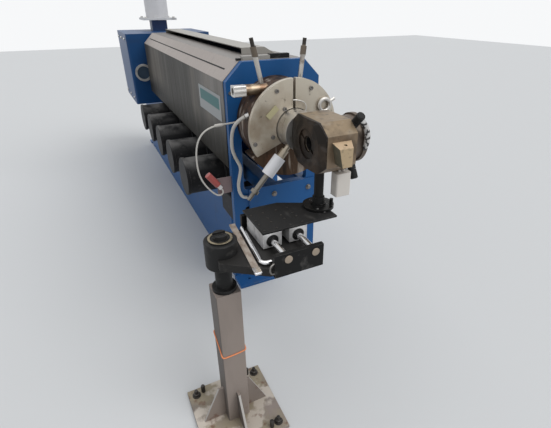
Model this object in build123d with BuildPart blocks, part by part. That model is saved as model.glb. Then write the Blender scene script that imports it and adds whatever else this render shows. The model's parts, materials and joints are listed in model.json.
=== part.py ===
from build123d import *
from math import atan2, cos, radians, sin, sqrt, tan
import os

# Cable sheathing line: a single-screw extruder with its crosshead, and the
# swing stand that carries the crosshead's slide table.
# Millimetres. +Z is up, +Y runs from the crosshead back to the drive, and +X
# is the way the cable travels. The origin is on the floor, under the screw
# axis, on the bolt line of the front foot.

# Extruder line
line_height = 1000
plate_front_y = -368
sheet = 3
seat = 0.3

# Hood
hood_half_width = 183
hood_rise = 197
hood_drop = 177
shoulder_run = 62
hood_length = 1680
slot_margin = 60
slot_width = 4
cap_left = 42
cap_right = 95
cap_rise = 24
cap_slope = 42
cap_front = 180
cap_rear = 65
vent_margin = 14

# Front plate
plate_half_width = 180
plate_thickness = 25
plate_drop = 600
plate_leg_width = 45
crossbar_drop = 265
crossbar_height = 75
sill_height = 60
window_radius = 10

# Base frame, set off to the right of the screw axis
base_centre_x = 70
base_width = 270
base_tail = 15.5
base_drop = 345
base_corner = 12
foot_reach = 103
foot_overhang = 8
foot_thickness = 15
foot_hole_radius = 9
foot_hole_inset = 60
rail_width = 60
rail_height = 70
rail_spacing = 154
rail_wall = 6

# Barrel with its heater bands
barrel_radius = 62
barrel_flange_radius = 110
barrel_flange_thickness = 30
band_radius = 84
band_width = 150
zones = 5
zone_pitch = 284
first_zone = 310

# Blowers under the barrel
blower_drop = 295
blower_radius = 82
blower_reach = 300
blower_shell_length = 165
blower_lip_length = 14
blower_lip = 3
volute_radius = 98
volute_width = 70
duct_width = 90
duct_depth = 60
duct_neck = 60

# Terminal box behind the front plate's left leg
terminal_width = 124
terminal_depth = 150
terminal_height = 105
terminal_drop = 415
terminal_left = 175

# Die clamp on the front of the barrel
clamp_radius = 160
clamp_thickness = 16
clamp_reach = 153
clamp_slot = 9
clamp_bore_radius = 66
clamp_cut_drop = 27
clamp_cut_angle = 22.4
clamp_cut_gap = 2
shoe_radius = 172
shoe_reach = 145
shoe_depth = 85
adapter_radius = 148
neck_radius = 64

# Clamp screw, levers and eye bolt
screw_rise = 121
screw_reach = 80
screw_tube_radius = 18
screw_tube_left = 184
screw_tube_right = -67
screw_socket_length = 41
screw_socket_side = 34
screw_socket_radius = 11
lever_radius = 8
left_lever_x = -84
left_lever_lean = -12.5
left_lever_length = 139
right_lever_x = 57
right_lever_lean = 7.5
right_lever_length = 134
eye_x = 111
eye_rise = 66
eye_ring_radius = 20
eye_wire_radius = 6.5
eye_shank_length = 22

# Melt probe, which hangs in front of the clamp's shoe
probe_reach = 200
probe_x = -56
probe_drop = 55
probe_lean = 41.7
probe_seat_length = 20
probe_ferrule_radius = 13
probe_ferrule_length = 30
probe_body_radius = 21
probe_body_length = 72
probe_rod_radius = 9
probe_rod_length = 62
probe_ring_radius = 14
probe_ring_length = 12
probe_tip_radius = 7
probe_tip_length = 30

# Crosshead: a block with the cable bore along X
head_reach = 327
head_left = -50
head_right = 61
head_face_thickness = 12
head_half_height = 76
head_near = 100
head_far = 108
head_chamfer_y = 42
head_chamfer_z = 30
face_flat_radius = 70
face_cone_radius = 122
bore_radius = 24
bore_mouth_radius = 46
guider_nut_recess = 5
guider_slot_width = 9
guider_slot_depth = 4
band_x = 120
band_rim_length = 14
die_band_radius = 70
die_rim_radius = 76
block_bottom_drop = 36
block_depth = 38
block_back_rise = 28
block_front_rise = 19
block_left = -24
block_right = 22
block_back_right = 40
block_taper = 14
block_hole_x = 8
block_hole_radius = 5
block_hole_depth = 16
upper_knob_x = 74
upper_knob_angle = 45
lower_knob_x = 87
lower_knob_angle = -60
knob_base_radius = 13
knob_base_length = 29
knob_tip_radius = 9
knob_tip_length = 30
plug_x = 47
plug_reach = 51
plug_width = 52
plug_depth = 36
plug_height = 76
plug_drop = 9
pin_radius = 4
pin_spacing = 15
sleeve_radius = 8.5
sleeve_points = (
    (74, 79, 79),
    (99, 81, 60),
    (109, 83, 30),
    (108, 82, 3),
    (111, 70, -16),
)

# Leads in front of the plate: each route's points are x, the reach forward
# of the plate and the rise above the screw axis
probe_lead_radius = 3
probe_gland_radius = 5
probe_gland_length = 18
probe_lead_points = (
    (-160, 12, 3),
    (-180, 12, 1.5),
    (-214, 12, 0.5),
    (-247, 12, -4),
    (-276, 11, -19),
    (-296, 10, -47),
    (-305, 9, -82),
    (-307, 8, -118),
    (-305.5, 7, -154),
    (-298, 6, -187),
    (-284, 4, -216),
    (-265, 3, -243),
    (-250, 2, -259),
    (-236, 1, -268),
    (-222, 0, -265),
    (-217.7, 0, -251.3),
    (-226, 0, -240),
)
heater_lead_radius = 6
heater_gland_radius = 7.5
heater_gland_length = 34
heater_lead_points = (
    (-152.8, 98.3, 41.1),
    (-168.8, 89.9, 32.5),
    (-185, 72, 6),
    (-186, 50, -25),
    (-184, 34, -60),
    (-180, 25, -95),
    (-166, 22, -130),
    (-150, 22, -163),
    (-158, 22, -197),
    (-166, 23, -229),
    (-164, 25, -258),
    (-151.2, 24, -284.1),
    (-132, 12, -292),
)

# Tab beside the plate that holds the probe lead's plug
tab_left = -236
tab_bottom_drop = 268
tab_top_drop = 204
tab_setback = 10
connector_radius = 8
connector_length = 18
lead_plug_radius = 12
lead_plug_length = 58

# Stand
stand_x = -343.6
stand_reach = 356.3
stand_plate_size = 300
stand_plate_thickness = 15
stand_anchor_inset = 30
stand_anchor_radius = 8
column_size = 80
column_wall = 5
column_drop = 409
gusset_reach = 82
gusset_top = 18
gusset_height = 140
gusset_thickness = 8
collar_radius = 38
collar_height = 12
collar_neck_radius = 26
hub_radius = 49
hub_drop = 318
hub_height = 85
pivot_radius = 24
running_fit = 0.05
washer_radius = 36
washer_thickness = 4
nut_radius = 22
nut_height = 15
nut_slot = 20
nut_slot_depth = 8

# Swing arm and slide
arm_drop = 274
arm_thickness = 26
arm_root_half = 60
arm_left = -250
slide_axis_rise = 26
slide_rod_radius = 10
slide_rod_spacing = 85
slide_left_x = -202
end_plate_left = -243
end_plate_right = -91
end_plate_thickness = 14
end_plate_height = 72
slide_span = 268
slide_rest_gap = 20
block_width = 60
slide_block_length = 62
slide_block_height = 47
slide_block_gap = 4
slide_block_lift = 5
seal_radius = 20
seal_depth = 3
table_left = -232
table_right = 20
table_thickness = 6
table_cut_x = -112
table_cut_mid_x = -40
table_cut_mid_fall = 36
table_cut_end_fall = 56
table_overhang = 37
jack_edge = 82

# Bars that lie along the left side of the arm
lock_bar_radius = 7
lock_bar_x = -242
lock_bar_lean_x = -266
lock_bar_rear_gap = 6
lock_bar_front_gap = 22
lock_bar_bend = 16
lock_bar_toe = 28
strap_width = 18
strap_thickness = 5
strap_front_x = -299
strap_rear_x = -256
strap_front_gap = 4
strap_rear_run = 21

# Jack under the crosshead
jack_radius = 11
jack_below = 24
wheel_radius = 51
wheel_thickness = 9
wheel_hub_radius = 25
wheel_hub_height = 7
knob_radius = 6
knob_height = 22
knob_inset = 9

# Drive end, behind the hood
drive_gap = 60
feed_length = 535
feed_half_width = 290
feed_rise = 190
bezel_radius = 57
bezel_width = 13
bezel_rise = -60
bezel_inset = 80
gearbox_length = 380
gearbox_half_width = 190
gearbox_rise = 150
motor_radius = 150
motor_length = 360
motor_drop = 105
motor_fins = 24
motor_cover = 24
motor_shaft_radius = 40
motor_shaft_length = 70
hopper_setback = 355
hopper_flange_size = 240
hopper_flange_rise = 88
hopper_flange_thickness = 14
hopper_throat = 112
hopper_tube_radius = 82
hopper_tube_height = 180
hopper_radius = 190
hopper_cone_height = 170
hopper_bin_height = 260
hopper_lid_height = 14
hopper_lid_lip = 6

os.makedirs("parts", exist_ok=True)

plate_bottom = line_height - plate_drop
crossbar_top = line_height - crossbar_drop
base_height = line_height - base_drop
terminal_bottom = line_height - terminal_drop
column_top = line_height - column_drop
hub_bottom = line_height - hub_drop
hub_top = hub_bottom + hub_height
arm_top = line_height - arm_drop
slide_axis_height = arm_top + slide_axis_rise
feed_top = line_height + feed_rise
gearbox_top = line_height + gearbox_rise
motor_height = line_height - motor_drop
hopper_flange_height = feed_top + hopper_flange_rise
hood_top_height = line_height + hood_rise
hood_shoulder_height = hood_top_height - shoulder_run
hood_skirt_height = line_height - hood_drop
hood_front_y = plate_front_y + plate_thickness
hood_rear_y = hood_front_y + hood_length
shoulder_top_x = hood_half_width - shoulder_run
feed_front_y = hood_rear_y + drive_gap
feed_rear_y = feed_front_y + feed_length
gearbox_rear_y = feed_rear_y + gearbox_length
motor_front_y = gearbox_rear_y + motor_shaft_length
motor_rear_y = motor_front_y + motor_length + motor_cover
base_front_y = foot_reach / 2
base_rear_y = motor_rear_y + base_tail
rail_centres = (base_centre_x - rail_spacing / 2, base_centre_x + rail_spacing / 2)
rail_top = base_height + rail_height
blower_height = line_height - blower_drop
clamp_front_y = plate_front_y - clamp_reach
clamp_rear_y = clamp_front_y + clamp_thickness
shoe_front_y = plate_front_y - shoe_reach
screw_y = plate_front_y - screw_reach
screw_height = line_height + screw_rise
head_y = plate_front_y - head_reach
head_near_y = head_y - head_near
head_far_y = head_y + head_far
head_bottom = line_height - head_half_height
stand_y = plate_front_y - stand_reach


def route(points):
    """Place a lead's points in front of the plate."""
    return [Vector(x, plate_front_y - reach, line_height + rise) for x, reach, rise in points]


def corner_radii(spots):
    """Give each corner of a lead's route its arc."""
    radii = []
    for before, corner, after in zip(spots, spots[1:], spots[2:]):
        half_turn = radians((corner - before).get_angle(after - corner) / 2)
        shorter_run = min((corner - before).length, (after - corner).length)
        radii.append(0.45 * shorter_run / tan(half_turn))
    return radii


def save(piece, label):
    """Name a finished piece and write it to its own file."""
    piece.part.label = label
    export_step(piece.part, f"parts/{label}.step")


probe_lead_route = route(probe_lead_points)
heater_lead_route = route(heater_lead_points)

# Base frame: a closed box beam, with a flat foot with two anchor holes at
# each end
foot_hole_x = base_width / 2 - foot_hole_inset
foot_centres = (0, base_rear_y + foot_reach / 2)
with BuildPart() as base_frame:
    with BuildSketch(Plane.XY):
        with Locations((base_centre_x, (base_front_y + base_rear_y) / 2)):
            RectangleRounded(base_width, base_rear_y - base_front_y, base_corner)
    extrude(amount=base_height)
    with BuildSketch(Plane.XY):
        for foot_y in foot_centres:
            with Locations((base_centre_x, foot_y)):
                Rectangle(base_width + 2 * foot_overhang, foot_reach)
            with Locations((base_centre_x - foot_hole_x, foot_y), (base_centre_x + foot_hole_x, foot_y)):
                Circle(foot_hole_radius, mode=Mode.SUBTRACT)
    extrude(amount=foot_thickness)
save(base_frame, "base_frame")

# Bed rails: two box sections on the base that reach forward to the front plate
with BuildPart() as bed_rails:
    with BuildSketch(Plane.XZ.offset(-hood_front_y)):
        with Locations(*[(x, base_height + rail_height / 2) for x in rail_centres]):
            RectangleRounded(rail_width, rail_height, rail_wall + 2)
            RectangleRounded(rail_width - 2 * rail_wall, rail_height - 2 * rail_wall, 2, mode=Mode.SUBTRACT)
    extrude(amount=hood_front_y - base_rear_y)
save(bed_rails, "bed_rails")

# Front plate: chamfered at the top, with two legs joined by a crossbar and a
# sill, and a round opening for the barrel
window_width = 2 * (plate_half_width - plate_leg_width)
upper_window = line_height - clamp_bore_radius - crossbar_top
lower_window = crossbar_top - crossbar_height - plate_bottom - sill_height
with BuildPart() as front_plate:
    with BuildSketch(Plane.XZ.offset(-plate_front_y)):
        with BuildLine():
            Polyline(
                (-plate_half_width, plate_bottom),
                (plate_half_width, plate_bottom),
                (plate_half_width, hood_shoulder_height),
                (plate_half_width - shoulder_run, hood_top_height),
                (-plate_half_width + shoulder_run, hood_top_height),
                (-plate_half_width, hood_shoulder_height),
                close=True,
            )
        make_face()
        with Locations((0, line_height)):
            Circle(barrel_flange_radius + seat, mode=Mode.SUBTRACT)
        with Locations((0, crossbar_top + upper_window / 2)):
            RectangleRounded(window_width, upper_window, window_radius, mode=Mode.SUBTRACT)
        with Locations((0, plate_bottom + sill_height + lower_window / 2)):
            RectangleRounded(window_width, lower_window, window_radius, mode=Mode.SUBTRACT)
    extrude(amount=-plate_thickness)
    with BuildSketch(Plane(heater_lead_route[-1], z_dir=heater_lead_route[-1] - heater_lead_route[-2])):
        Circle(heater_gland_radius)
    extrude(amount=heater_gland_length)
save(front_plate, "front_plate")

# Hood: a folded sheet each side, meeting along the top round the vent, with a
# narrow slot along each shoulder
fold_miter = sheet * tan(radians(22.5))
cap_front_y = hood_front_y + cap_front
cap_length = hood_length - cap_front - cap_rear
vent_width = cap_left + cap_right - 2 * vent_margin
vent_middle = ((cap_right - cap_left) / 2, cap_front_y + cap_length / 2)
for side, label in ((-1, "hood_left"), (1, "hood_right")):
    with BuildPart() as hood_side:
        with BuildSketch(Plane.XZ.offset(-hood_front_y)):
            with BuildLine():
                Polyline(
                    (side * hood_half_width, hood_skirt_height),
                    (side * hood_half_width, hood_shoulder_height),
                    (side * shoulder_top_x, hood_top_height),
                    (0, hood_top_height),
                    (0, hood_top_height - sheet),
                    (side * (shoulder_top_x - fold_miter), hood_top_height - sheet),
                    (side * (hood_half_width - sheet), hood_shoulder_height - fold_miter),
                    (side * (hood_half_width - sheet), hood_skirt_height),
                    close=True,
                )
            make_face()
        extrude(amount=-hood_length)
        with BuildSketch(Plane.XY.offset(hood_top_height + sheet)):
            with Locations(vent_middle):
                Rectangle(vent_width, cap_length - 2 * vent_margin)
        extrude(amount=-3 * sheet, mode=Mode.SUBTRACT)
        slot_centre = (
            side * (hood_half_width + shoulder_top_x) / 2,
            hood_front_y + hood_length / 2,
            (hood_shoulder_height + hood_top_height) / 2,
        )
        with BuildSketch(Plane(origin=slot_centre, x_dir=(0, 1, 0), z_dir=(side, 0, 1))):
            SlotOverall(hood_length - 2 * slot_margin, slot_width)
        extrude(amount=3 * sheet, both=True, mode=Mode.SUBTRACT)
    save(hood_side, label)

# Hood end: the sheet that closes the rear of the hood round the barrel
with BuildPart() as hood_rear:
    with BuildSketch(Plane.XZ.offset(-hood_rear_y)):
        with BuildLine():
            Polyline(
                (-hood_half_width, hood_skirt_height),
                (-hood_half_width, hood_shoulder_height),
                (-shoulder_top_x, hood_top_height),
                (shoulder_top_x, hood_top_height),
                (hood_half_width, hood_shoulder_height),
                (hood_half_width, hood_skirt_height),
                close=True,
            )
        make_face()
        with Locations((0, line_height)):
            Circle(barrel_radius + sheet, mode=Mode.SUBTRACT)
    extrude(amount=-sheet)
save(hood_rear, "hood_rear")

# Hood cap: a bent sheet over the vent, open along its left side and closed at
# its two ends
cap_top = hood_top_height + cap_rise
cap_skin = sheet / sin(atan2(cap_rise, cap_slope))
with BuildPart() as hood_cap:
    with BuildSketch(Plane.XZ.offset(-cap_front_y)):
        with BuildLine():
            Polyline(
                (-cap_left, hood_top_height),
                (-cap_left, cap_top),
                (cap_right - cap_slope, cap_top),
                (cap_right, hood_top_height),
                close=True,
            )
        make_face()
    extrude(amount=-cap_length)
    with BuildSketch(Plane.XZ.offset(-cap_front_y - sheet)):
        with BuildLine():
            Polyline(
                (-cap_left - sheet, hood_top_height),
                (-cap_left - sheet, cap_top - sheet),
                (cap_right - cap_skin - cap_slope * (1 - sheet / cap_rise), cap_top - sheet),
                (cap_right - cap_skin, hood_top_height),
                close=True,
            )
        make_face()
    extrude(amount=2 * sheet - cap_length, mode=Mode.SUBTRACT)
save(hood_cap, "hood_cap")

# Barrel: a flanged cylinder with a heating and cooling band over each zone
with BuildPart() as barrel:
    with BuildSketch(Plane.XZ.offset(-plate_front_y)):
        with Locations((0, line_height)):
            Circle(barrel_flange_radius)
    extrude(amount=-barrel_flange_thickness)
    with BuildSketch(Plane.XZ.offset(-plate_front_y)):
        with Locations((0, line_height)):
            Circle(barrel_radius)
    extrude(amount=plate_front_y - feed_front_y)
    for zone in range(zones):
        band_front_y = plate_front_y + first_zone + zone * zone_pitch - band_width / 2
        with BuildSketch(Plane.XZ.offset(-band_front_y)):
            with Locations((0, line_height)):
                Circle(band_radius)
        extrude(amount=-band_width)
save(barrel, "barrel")

# Blowers: a motor shell with its end lip, the round fan housing, and the duct
# that leans over to the heater band above
shell_end_x = blower_shell_length - blower_reach
duct_x = shell_end_x + volute_width / 2
duct_top = line_height - band_radius - seat
zone_centres = [plate_front_y + first_zone + zone * zone_pitch for zone in range(zones)]
blower_centres = [(zone_y, blower_height) for zone_y in zone_centres]
with BuildPart() as blowers:
    with BuildSketch(Plane.YZ.offset(-blower_reach)):
        with Locations(*blower_centres):
            Circle(blower_radius)
    extrude(amount=blower_lip_length)
    fillet(blowers.edges().group_by(Axis.X)[0], blower_lip)
    with BuildSketch(Plane.YZ.offset(blower_lip_length - blower_reach)):
        with Locations(*blower_centres):
            Circle(blower_radius - blower_lip)
    extrude(amount=blower_shell_length - blower_lip_length)
    with BuildSketch(Plane.YZ.offset(shell_end_x)):
        with Locations(*blower_centres):
            Circle(volute_radius)
    extrude(amount=volute_width)
    with BuildSketch(Plane.XY.offset(blower_height)):
        with Locations(*[(duct_x, zone_y) for zone_y in zone_centres]):
            Rectangle(duct_depth, duct_width)
    extrude(amount=duct_top - duct_neck - blower_height)
    for zone_y in zone_centres:
        with BuildSketch(Plane.XY.offset(duct_top - duct_neck)):
            with Locations((duct_x, zone_y)):
                Rectangle(duct_depth, duct_width)
        with BuildSketch(Plane.XY.offset(duct_top)):
            with Locations((0, zone_y)):
                Rectangle(duct_depth, duct_width)
        loft()
save(blowers, "blowers")

# Terminal box on the back of the front plate
with BuildPart() as terminal_box:
    with BuildSketch(Plane.XY.offset(terminal_bottom)):
        with Locations((terminal_width / 2 - terminal_left, hood_front_y + terminal_depth / 2)):
            Rectangle(terminal_width, terminal_depth)
    extrude(amount=terminal_height)
    fillet(terminal_box.edges().filter_by(Axis.Y), 6)
save(terminal_box, "terminal_box")

# Feed housing: the block behind the hood that the hopper stands on, with a
# round bezel on its front
with BuildPart() as feed_housing:
    with BuildSketch(Plane.XY.offset(rail_top)):
        with Locations((0, feed_front_y + feed_length / 2)):
            RectangleRounded(2 * feed_half_width, feed_length, 15)
    extrude(amount=feed_top - rail_top)
    with BuildSketch(Plane.XZ.offset(-feed_front_y)):
        with Locations((bezel_inset - feed_half_width, line_height + bezel_rise)):
            Circle(bezel_radius)
            Circle(bezel_radius - bezel_width, mode=Mode.SUBTRACT)
    extrude(amount=bezel_width)
save(feed_housing, "feed_housing")

# Gearbox behind the feed housing
with BuildPart() as gearbox:
    with BuildSketch(Plane.XY.offset(rail_top)):
        with Locations((0, feed_rear_y + gearbox_length / 2)):
            RectangleRounded(2 * gearbox_half_width, gearbox_length, 20)
    extrude(amount=gearbox_top - rail_top)
    fillet(gearbox.faces().sort_by(Axis.Z)[-1].edges(), 12)
save(gearbox, "gearbox")

# Motor: a finned shell between two end covers, with its shaft in the gearbox
with BuildPart() as motor:
    with BuildSketch(Plane.XZ.offset(-gearbox_rear_y)):
        with Locations((0, motor_height)):
            Circle(motor_shaft_radius)
    extrude(amount=-motor_shaft_length)
    with BuildSketch(Plane.XZ.offset(-motor_front_y)):
        with Locations((0, motor_height)):
            Circle(motor_radius - 15)
            with PolarLocations(motor_radius - 15, motor_fins):
                Rectangle(24, 5)
    extrude(amount=-motor_length)
    for cover_y in (motor_front_y, motor_front_y + motor_length):
        with BuildSketch(Plane.XZ.offset(-cover_y)):
            with Locations((0, motor_height)):
                Circle(motor_radius)
        extrude(amount=-motor_cover)
    with BuildSketch(Plane.XY.offset(rail_top)):
        with Locations((base_centre_x / 2, motor_front_y + motor_length / 2)):
            Rectangle(2 * motor_radius, motor_length * 0.7)
    extrude(amount=motor_cover)
    with BuildSketch(Plane.XY.offset(rail_top)):
        with Locations((0, motor_front_y + motor_length / 2)):
            Rectangle(motor_radius, motor_length * 0.7)
    extrude(amount=motor_height - rail_top - motor_radius / 2)
save(motor, "motor")

# Hopper throat and flange, then the tube, cone and bin with its lid
hopper_y = feed_front_y + hopper_setback
with BuildPart() as hopper_flange:
    with BuildSketch(Plane.XY.offset(feed_top)):
        with Locations((0, hopper_y)):
            RectangleRounded(hopper_throat, hopper_throat, 10)
    extrude(amount=hopper_flange_height - hopper_flange_thickness - feed_top)
    with BuildSketch(Plane.XY.offset(hopper_flange_height - hopper_flange_thickness)):
        with Locations((0, hopper_y)):
            RectangleRounded(hopper_flange_size, hopper_flange_size, 14)
    extrude(amount=hopper_flange_thickness)
save(hopper_flange, "hopper_flange")

cone_bottom = hopper_flange_height + hopper_tube_height
bin_bottom = cone_bottom + hopper_cone_height
bin_top = bin_bottom + hopper_bin_height
with BuildPart() as hopper:
    with BuildSketch(Plane.XZ.offset(-hopper_y)):
        with BuildLine():
            Polyline(
                (0, hopper_flange_height),
                (hopper_tube_radius, hopper_flange_height),
                (hopper_tube_radius, cone_bottom),
                (hopper_radius, bin_bottom),
                (hopper_radius, bin_top),
                (0, bin_top),
                close=True,
            )
        make_face()
    revolve(axis=Axis((0, hopper_y, 0), (0, 0, 1)))
    with BuildSketch(Plane.XY.offset(bin_top + seat)):
        with Locations((0, hopper_y)):
            Circle(hopper_radius + hopper_lid_lip)
    extrude(amount=hopper_lid_height)
    fillet(hopper.edges().group_by(Axis.Z)[-1], 5)
save(hopper, "hopper")

# Adapter flange: the heat-stained ring between the barrel and the die clamp,
# with the glands of its two leads, and the burnt shoe between the clamp
# plates' cuts, which reaches back round the ring
cut_fall = shoe_radius * tan(radians(clamp_cut_angle))
cut_apex = line_height - clamp_cut_drop
shoe_step_y = clamp_rear_y - seat
shoe_steps = (
    (shoe_front_y, clamp_bore_radius, shoe_step_y - shoe_front_y),
    (shoe_step_y, adapter_radius + seat, shoe_front_y + shoe_depth - shoe_step_y),
)
with BuildPart() as adapter_flange:
    with BuildSketch(Plane.XZ.offset(-plate_front_y)):
        with Locations((0, line_height)):
            Circle(adapter_radius)
    extrude(amount=plate_front_y - clamp_rear_y)
    with BuildSketch(Plane(probe_lead_route[0], z_dir=probe_lead_route[0] - probe_lead_route[1])):
        Circle(probe_gland_radius)
    extrude(amount=probe_gland_length)
    with BuildSketch(Plane(heater_lead_route[0], z_dir=heater_lead_route[0] - heater_lead_route[1])):
        Circle(heater_gland_radius)
    extrude(amount=heater_gland_length)
    for step_y, inner_radius, depth in shoe_steps:
        with BuildSketch(Plane.XZ.offset(-step_y)):
            with Locations((0, line_height)):
                Circle(shoe_radius)
                Circle(inner_radius, mode=Mode.SUBTRACT)
            with BuildLine():
                Polyline(
                    (0, cut_apex - clamp_cut_gap),
                    (shoe_radius, cut_apex - clamp_cut_gap - cut_fall),
                    (shoe_radius, cut_apex - 2 * shoe_radius),
                    (-shoe_radius, cut_apex - 2 * shoe_radius),
                    (-shoe_radius, cut_apex - clamp_cut_gap - cut_fall),
                    close=True,
                )
            make_face(mode=Mode.INTERSECT)
        extrude(amount=-depth)
save(adapter_flange, "adapter_flange")

# Die clamp: two plates with a slot between them at the top, cut away below
with BuildPart() as clamp_plates:
    with BuildSketch(Plane.XZ.offset(-clamp_front_y)):
        with Locations((0, line_height)):
            Circle(clamp_radius)
            Circle(clamp_bore_radius, mode=Mode.SUBTRACT)
        with Locations((0, line_height + clamp_radius / 2)):
            Rectangle(clamp_slot, clamp_radius, mode=Mode.SUBTRACT)
        with BuildLine():
            Polyline(
                (0, cut_apex),
                (shoe_radius, cut_apex - cut_fall),
                (shoe_radius, cut_apex - 2 * shoe_radius),
                (-shoe_radius, cut_apex - 2 * shoe_radius),
                (-shoe_radius, cut_apex - cut_fall),
                close=True,
            )
        make_face(mode=Mode.SUBTRACT)
    extrude(amount=-clamp_thickness)
save(clamp_plates, "clamp_plates")

# Clamp screw: a tube with a square socket end, saddled onto the adapter flange
with BuildPart() as clamp_screw:
    with BuildSketch(Plane.YZ.offset(-screw_tube_left)):
        with Locations((screw_y, screw_height)):
            Circle(screw_tube_radius)
    extrude(amount=screw_tube_left + screw_tube_right)
    with BuildSketch(Plane.YZ.offset(-screw_tube_left)):
        with Locations((screw_y, screw_height)):
            RectangleRounded(screw_socket_side, screw_socket_side, 3)
    extrude(amount=screw_socket_length)
    with BuildSketch(Plane.YZ.offset(-screw_tube_left)):
        with Locations((screw_y, screw_height)):
            Circle(screw_socket_radius)
    extrude(amount=screw_socket_length, mode=Mode.SUBTRACT)
    with BuildSketch(Plane.XZ.offset(-plate_front_y)):
        with Locations((0, line_height)):
            Circle(adapter_radius + seat)
    extrude(amount=clamp_reach, mode=Mode.SUBTRACT)
save(clamp_screw, "clamp_screw")

# Levers: a stepped rod standing on the clamp screw, and one on the adapter
lever_feet = (
    (left_lever_x, screw_height + screw_tube_radius, left_lever_lean, left_lever_length),
    (
        right_lever_x,
        line_height + sqrt(adapter_radius**2 - right_lever_x**2),
        right_lever_lean,
        right_lever_length,
    ),
)
lever_steps = ((0.0, 0.6, 0), (0.6, 0.82, 2), (0.82, 1.0, -1.5))
with BuildPart() as levers:
    for foot_x, foot_z, lean, length in lever_feet:
        up = (sin(radians(lean)), 0, cos(radians(lean)))
        lever_plane = Plane(origin=(foot_x, screw_y, foot_z), x_dir=(0, 1, 0), z_dir=up)
        with BuildSketch(lever_plane.offset(-2 * lever_radius)):
            Circle(lever_radius)
        extrude(amount=2 * lever_radius)
        for start, end, swell in lever_steps:
            with BuildSketch(lever_plane.offset(start * length)):
                Circle(lever_radius + swell)
            extrude(amount=(end - start) * length)
    with BuildSketch(Plane.XZ.offset(-plate_front_y)):
        with Locations((0, line_height)):
            Circle(adapter_radius + seat)
    extrude(amount=clamp_reach, mode=Mode.SUBTRACT)
    with BuildSketch(Plane.YZ.offset(-screw_tube_left)):
        with Locations((screw_y, screw_height)):
            Circle(screw_tube_radius + seat)
    extrude(amount=screw_tube_left + screw_tube_right, mode=Mode.SUBTRACT)
save(levers, "levers")

# Eye bolt: a ring that lies against the clamp's right half, with its shank
eye_y = clamp_front_y - seat - eye_wire_radius
eye_z = line_height + eye_rise
with BuildPart() as eye_bolt:
    with BuildSketch(Plane.XY.offset(eye_z)):
        with Locations((eye_x + eye_ring_radius, eye_y)):
            Circle(eye_wire_radius)
    revolve(axis=Axis((eye_x, eye_y, eye_z), (0, 1, 0)))
    shank_plane = Plane(origin=(eye_x, eye_y, eye_z), x_dir=(0, 1, 0), z_dir=(2, 0, 1))
    with BuildSketch(shank_plane.offset(eye_ring_radius)):
        Circle(eye_wire_radius - 1)
    extrude(amount=eye_shank_length)
save(eye_bolt, "eye_bolt")

# Die neck: the round passage from the adapter flange to the crosshead
with BuildPart() as die_neck:
    with BuildSketch(Plane.XZ.offset(-clamp_rear_y)):
        with Locations((0, line_height)):
            Circle(neck_radius)
    extrude(amount=clamp_rear_y - head_far_y)
save(die_neck, "die_neck")

# Melt probe: a stepped round body that leans down and left from the die neck
probe_y = plate_front_y - probe_reach
probe_dir = (-sin(radians(probe_lean)), 0, -cos(radians(probe_lean)))
probe_plane = Plane(
    origin=(probe_x, probe_y, line_height - probe_drop), x_dir=(0, 1, 0), z_dir=probe_dir
)
probe_steps = (
    (-probe_seat_length, probe_rod_radius, probe_seat_length),
    (0, probe_ferrule_radius, probe_ferrule_length),
    (probe_ferrule_length, probe_body_radius, probe_body_length),
    (probe_ferrule_length + probe_body_length, probe_rod_radius, probe_rod_length),
    (
        probe_ferrule_length + probe_body_length + probe_rod_length,
        probe_ring_radius,
        probe_ring_length,
    ),
    (
        probe_ferrule_length + probe_body_length + probe_rod_length + probe_ring_length,
        probe_tip_radius,
        probe_tip_length,
    ),
)
with BuildPart() as melt_probe:
    for start, radius, length in probe_steps:
        with BuildSketch(probe_plane.offset(start)):
            Circle(radius)
        extrude(amount=length)
    with BuildSketch(Plane.XZ.offset(-clamp_rear_y)):
        with Locations((0, line_height)):
            Circle(neck_radius + seat)
    extrude(amount=clamp_rear_y - head_far_y, mode=Mode.SUBTRACT)
save(melt_probe, "melt_probe")

# Crosshead body: an eight-sided block with the cable bore through it along X
body_left = head_left + head_face_thickness
head_outline = (
    (head_near_y, line_height - head_half_height + head_chamfer_z),
    (head_near_y, line_height + head_half_height - head_chamfer_z),
    (head_near_y + head_chamfer_y, line_height + head_half_height),
    (head_far_y - head_chamfer_y, line_height + head_half_height),
    (head_far_y, line_height + head_half_height - head_chamfer_z),
    (head_far_y, line_height - head_half_height + head_chamfer_z),
    (head_far_y - head_chamfer_y, line_height - head_half_height),
    (head_near_y + head_chamfer_y, line_height - head_half_height),
)
with BuildPart() as crosshead_body:
    with BuildSketch(Plane.YZ.offset(body_left)):
        with BuildLine():
            Polyline(*head_outline, close=True)
        make_face()
        with Locations((head_y, line_height)):
            Circle(bore_radius, mode=Mode.SUBTRACT)
    extrude(amount=head_right - body_left)
save(crosshead_body, "crosshead_body")

# Face plate: the same outline, coned back from a flat ring round the mouth
with BuildPart() as face_plate:
    with BuildSketch(Plane.XY.offset(line_height)):
        with BuildLine():
            Polyline(
                (head_left, head_y),
                (head_left, head_y + face_flat_radius),
                (body_left, head_y + face_cone_radius),
                (body_left, head_y),
                close=True,
            )
        make_face()
    revolve(axis=Axis((0, head_y, line_height), (1, 0, 0)))
    with BuildSketch(Plane.YZ.offset(head_left)):
        with BuildLine():
            Polyline(*head_outline, close=True)
        make_face()
    extrude(amount=head_face_thickness, mode=Mode.INTERSECT)
    with BuildSketch(Plane.YZ.offset(head_left)):
        with Locations((head_y, line_height)):
            Circle(bore_mouth_radius)
    extrude(amount=head_face_thickness, mode=Mode.SUBTRACT)
save(face_plate, "face_plate")

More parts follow.
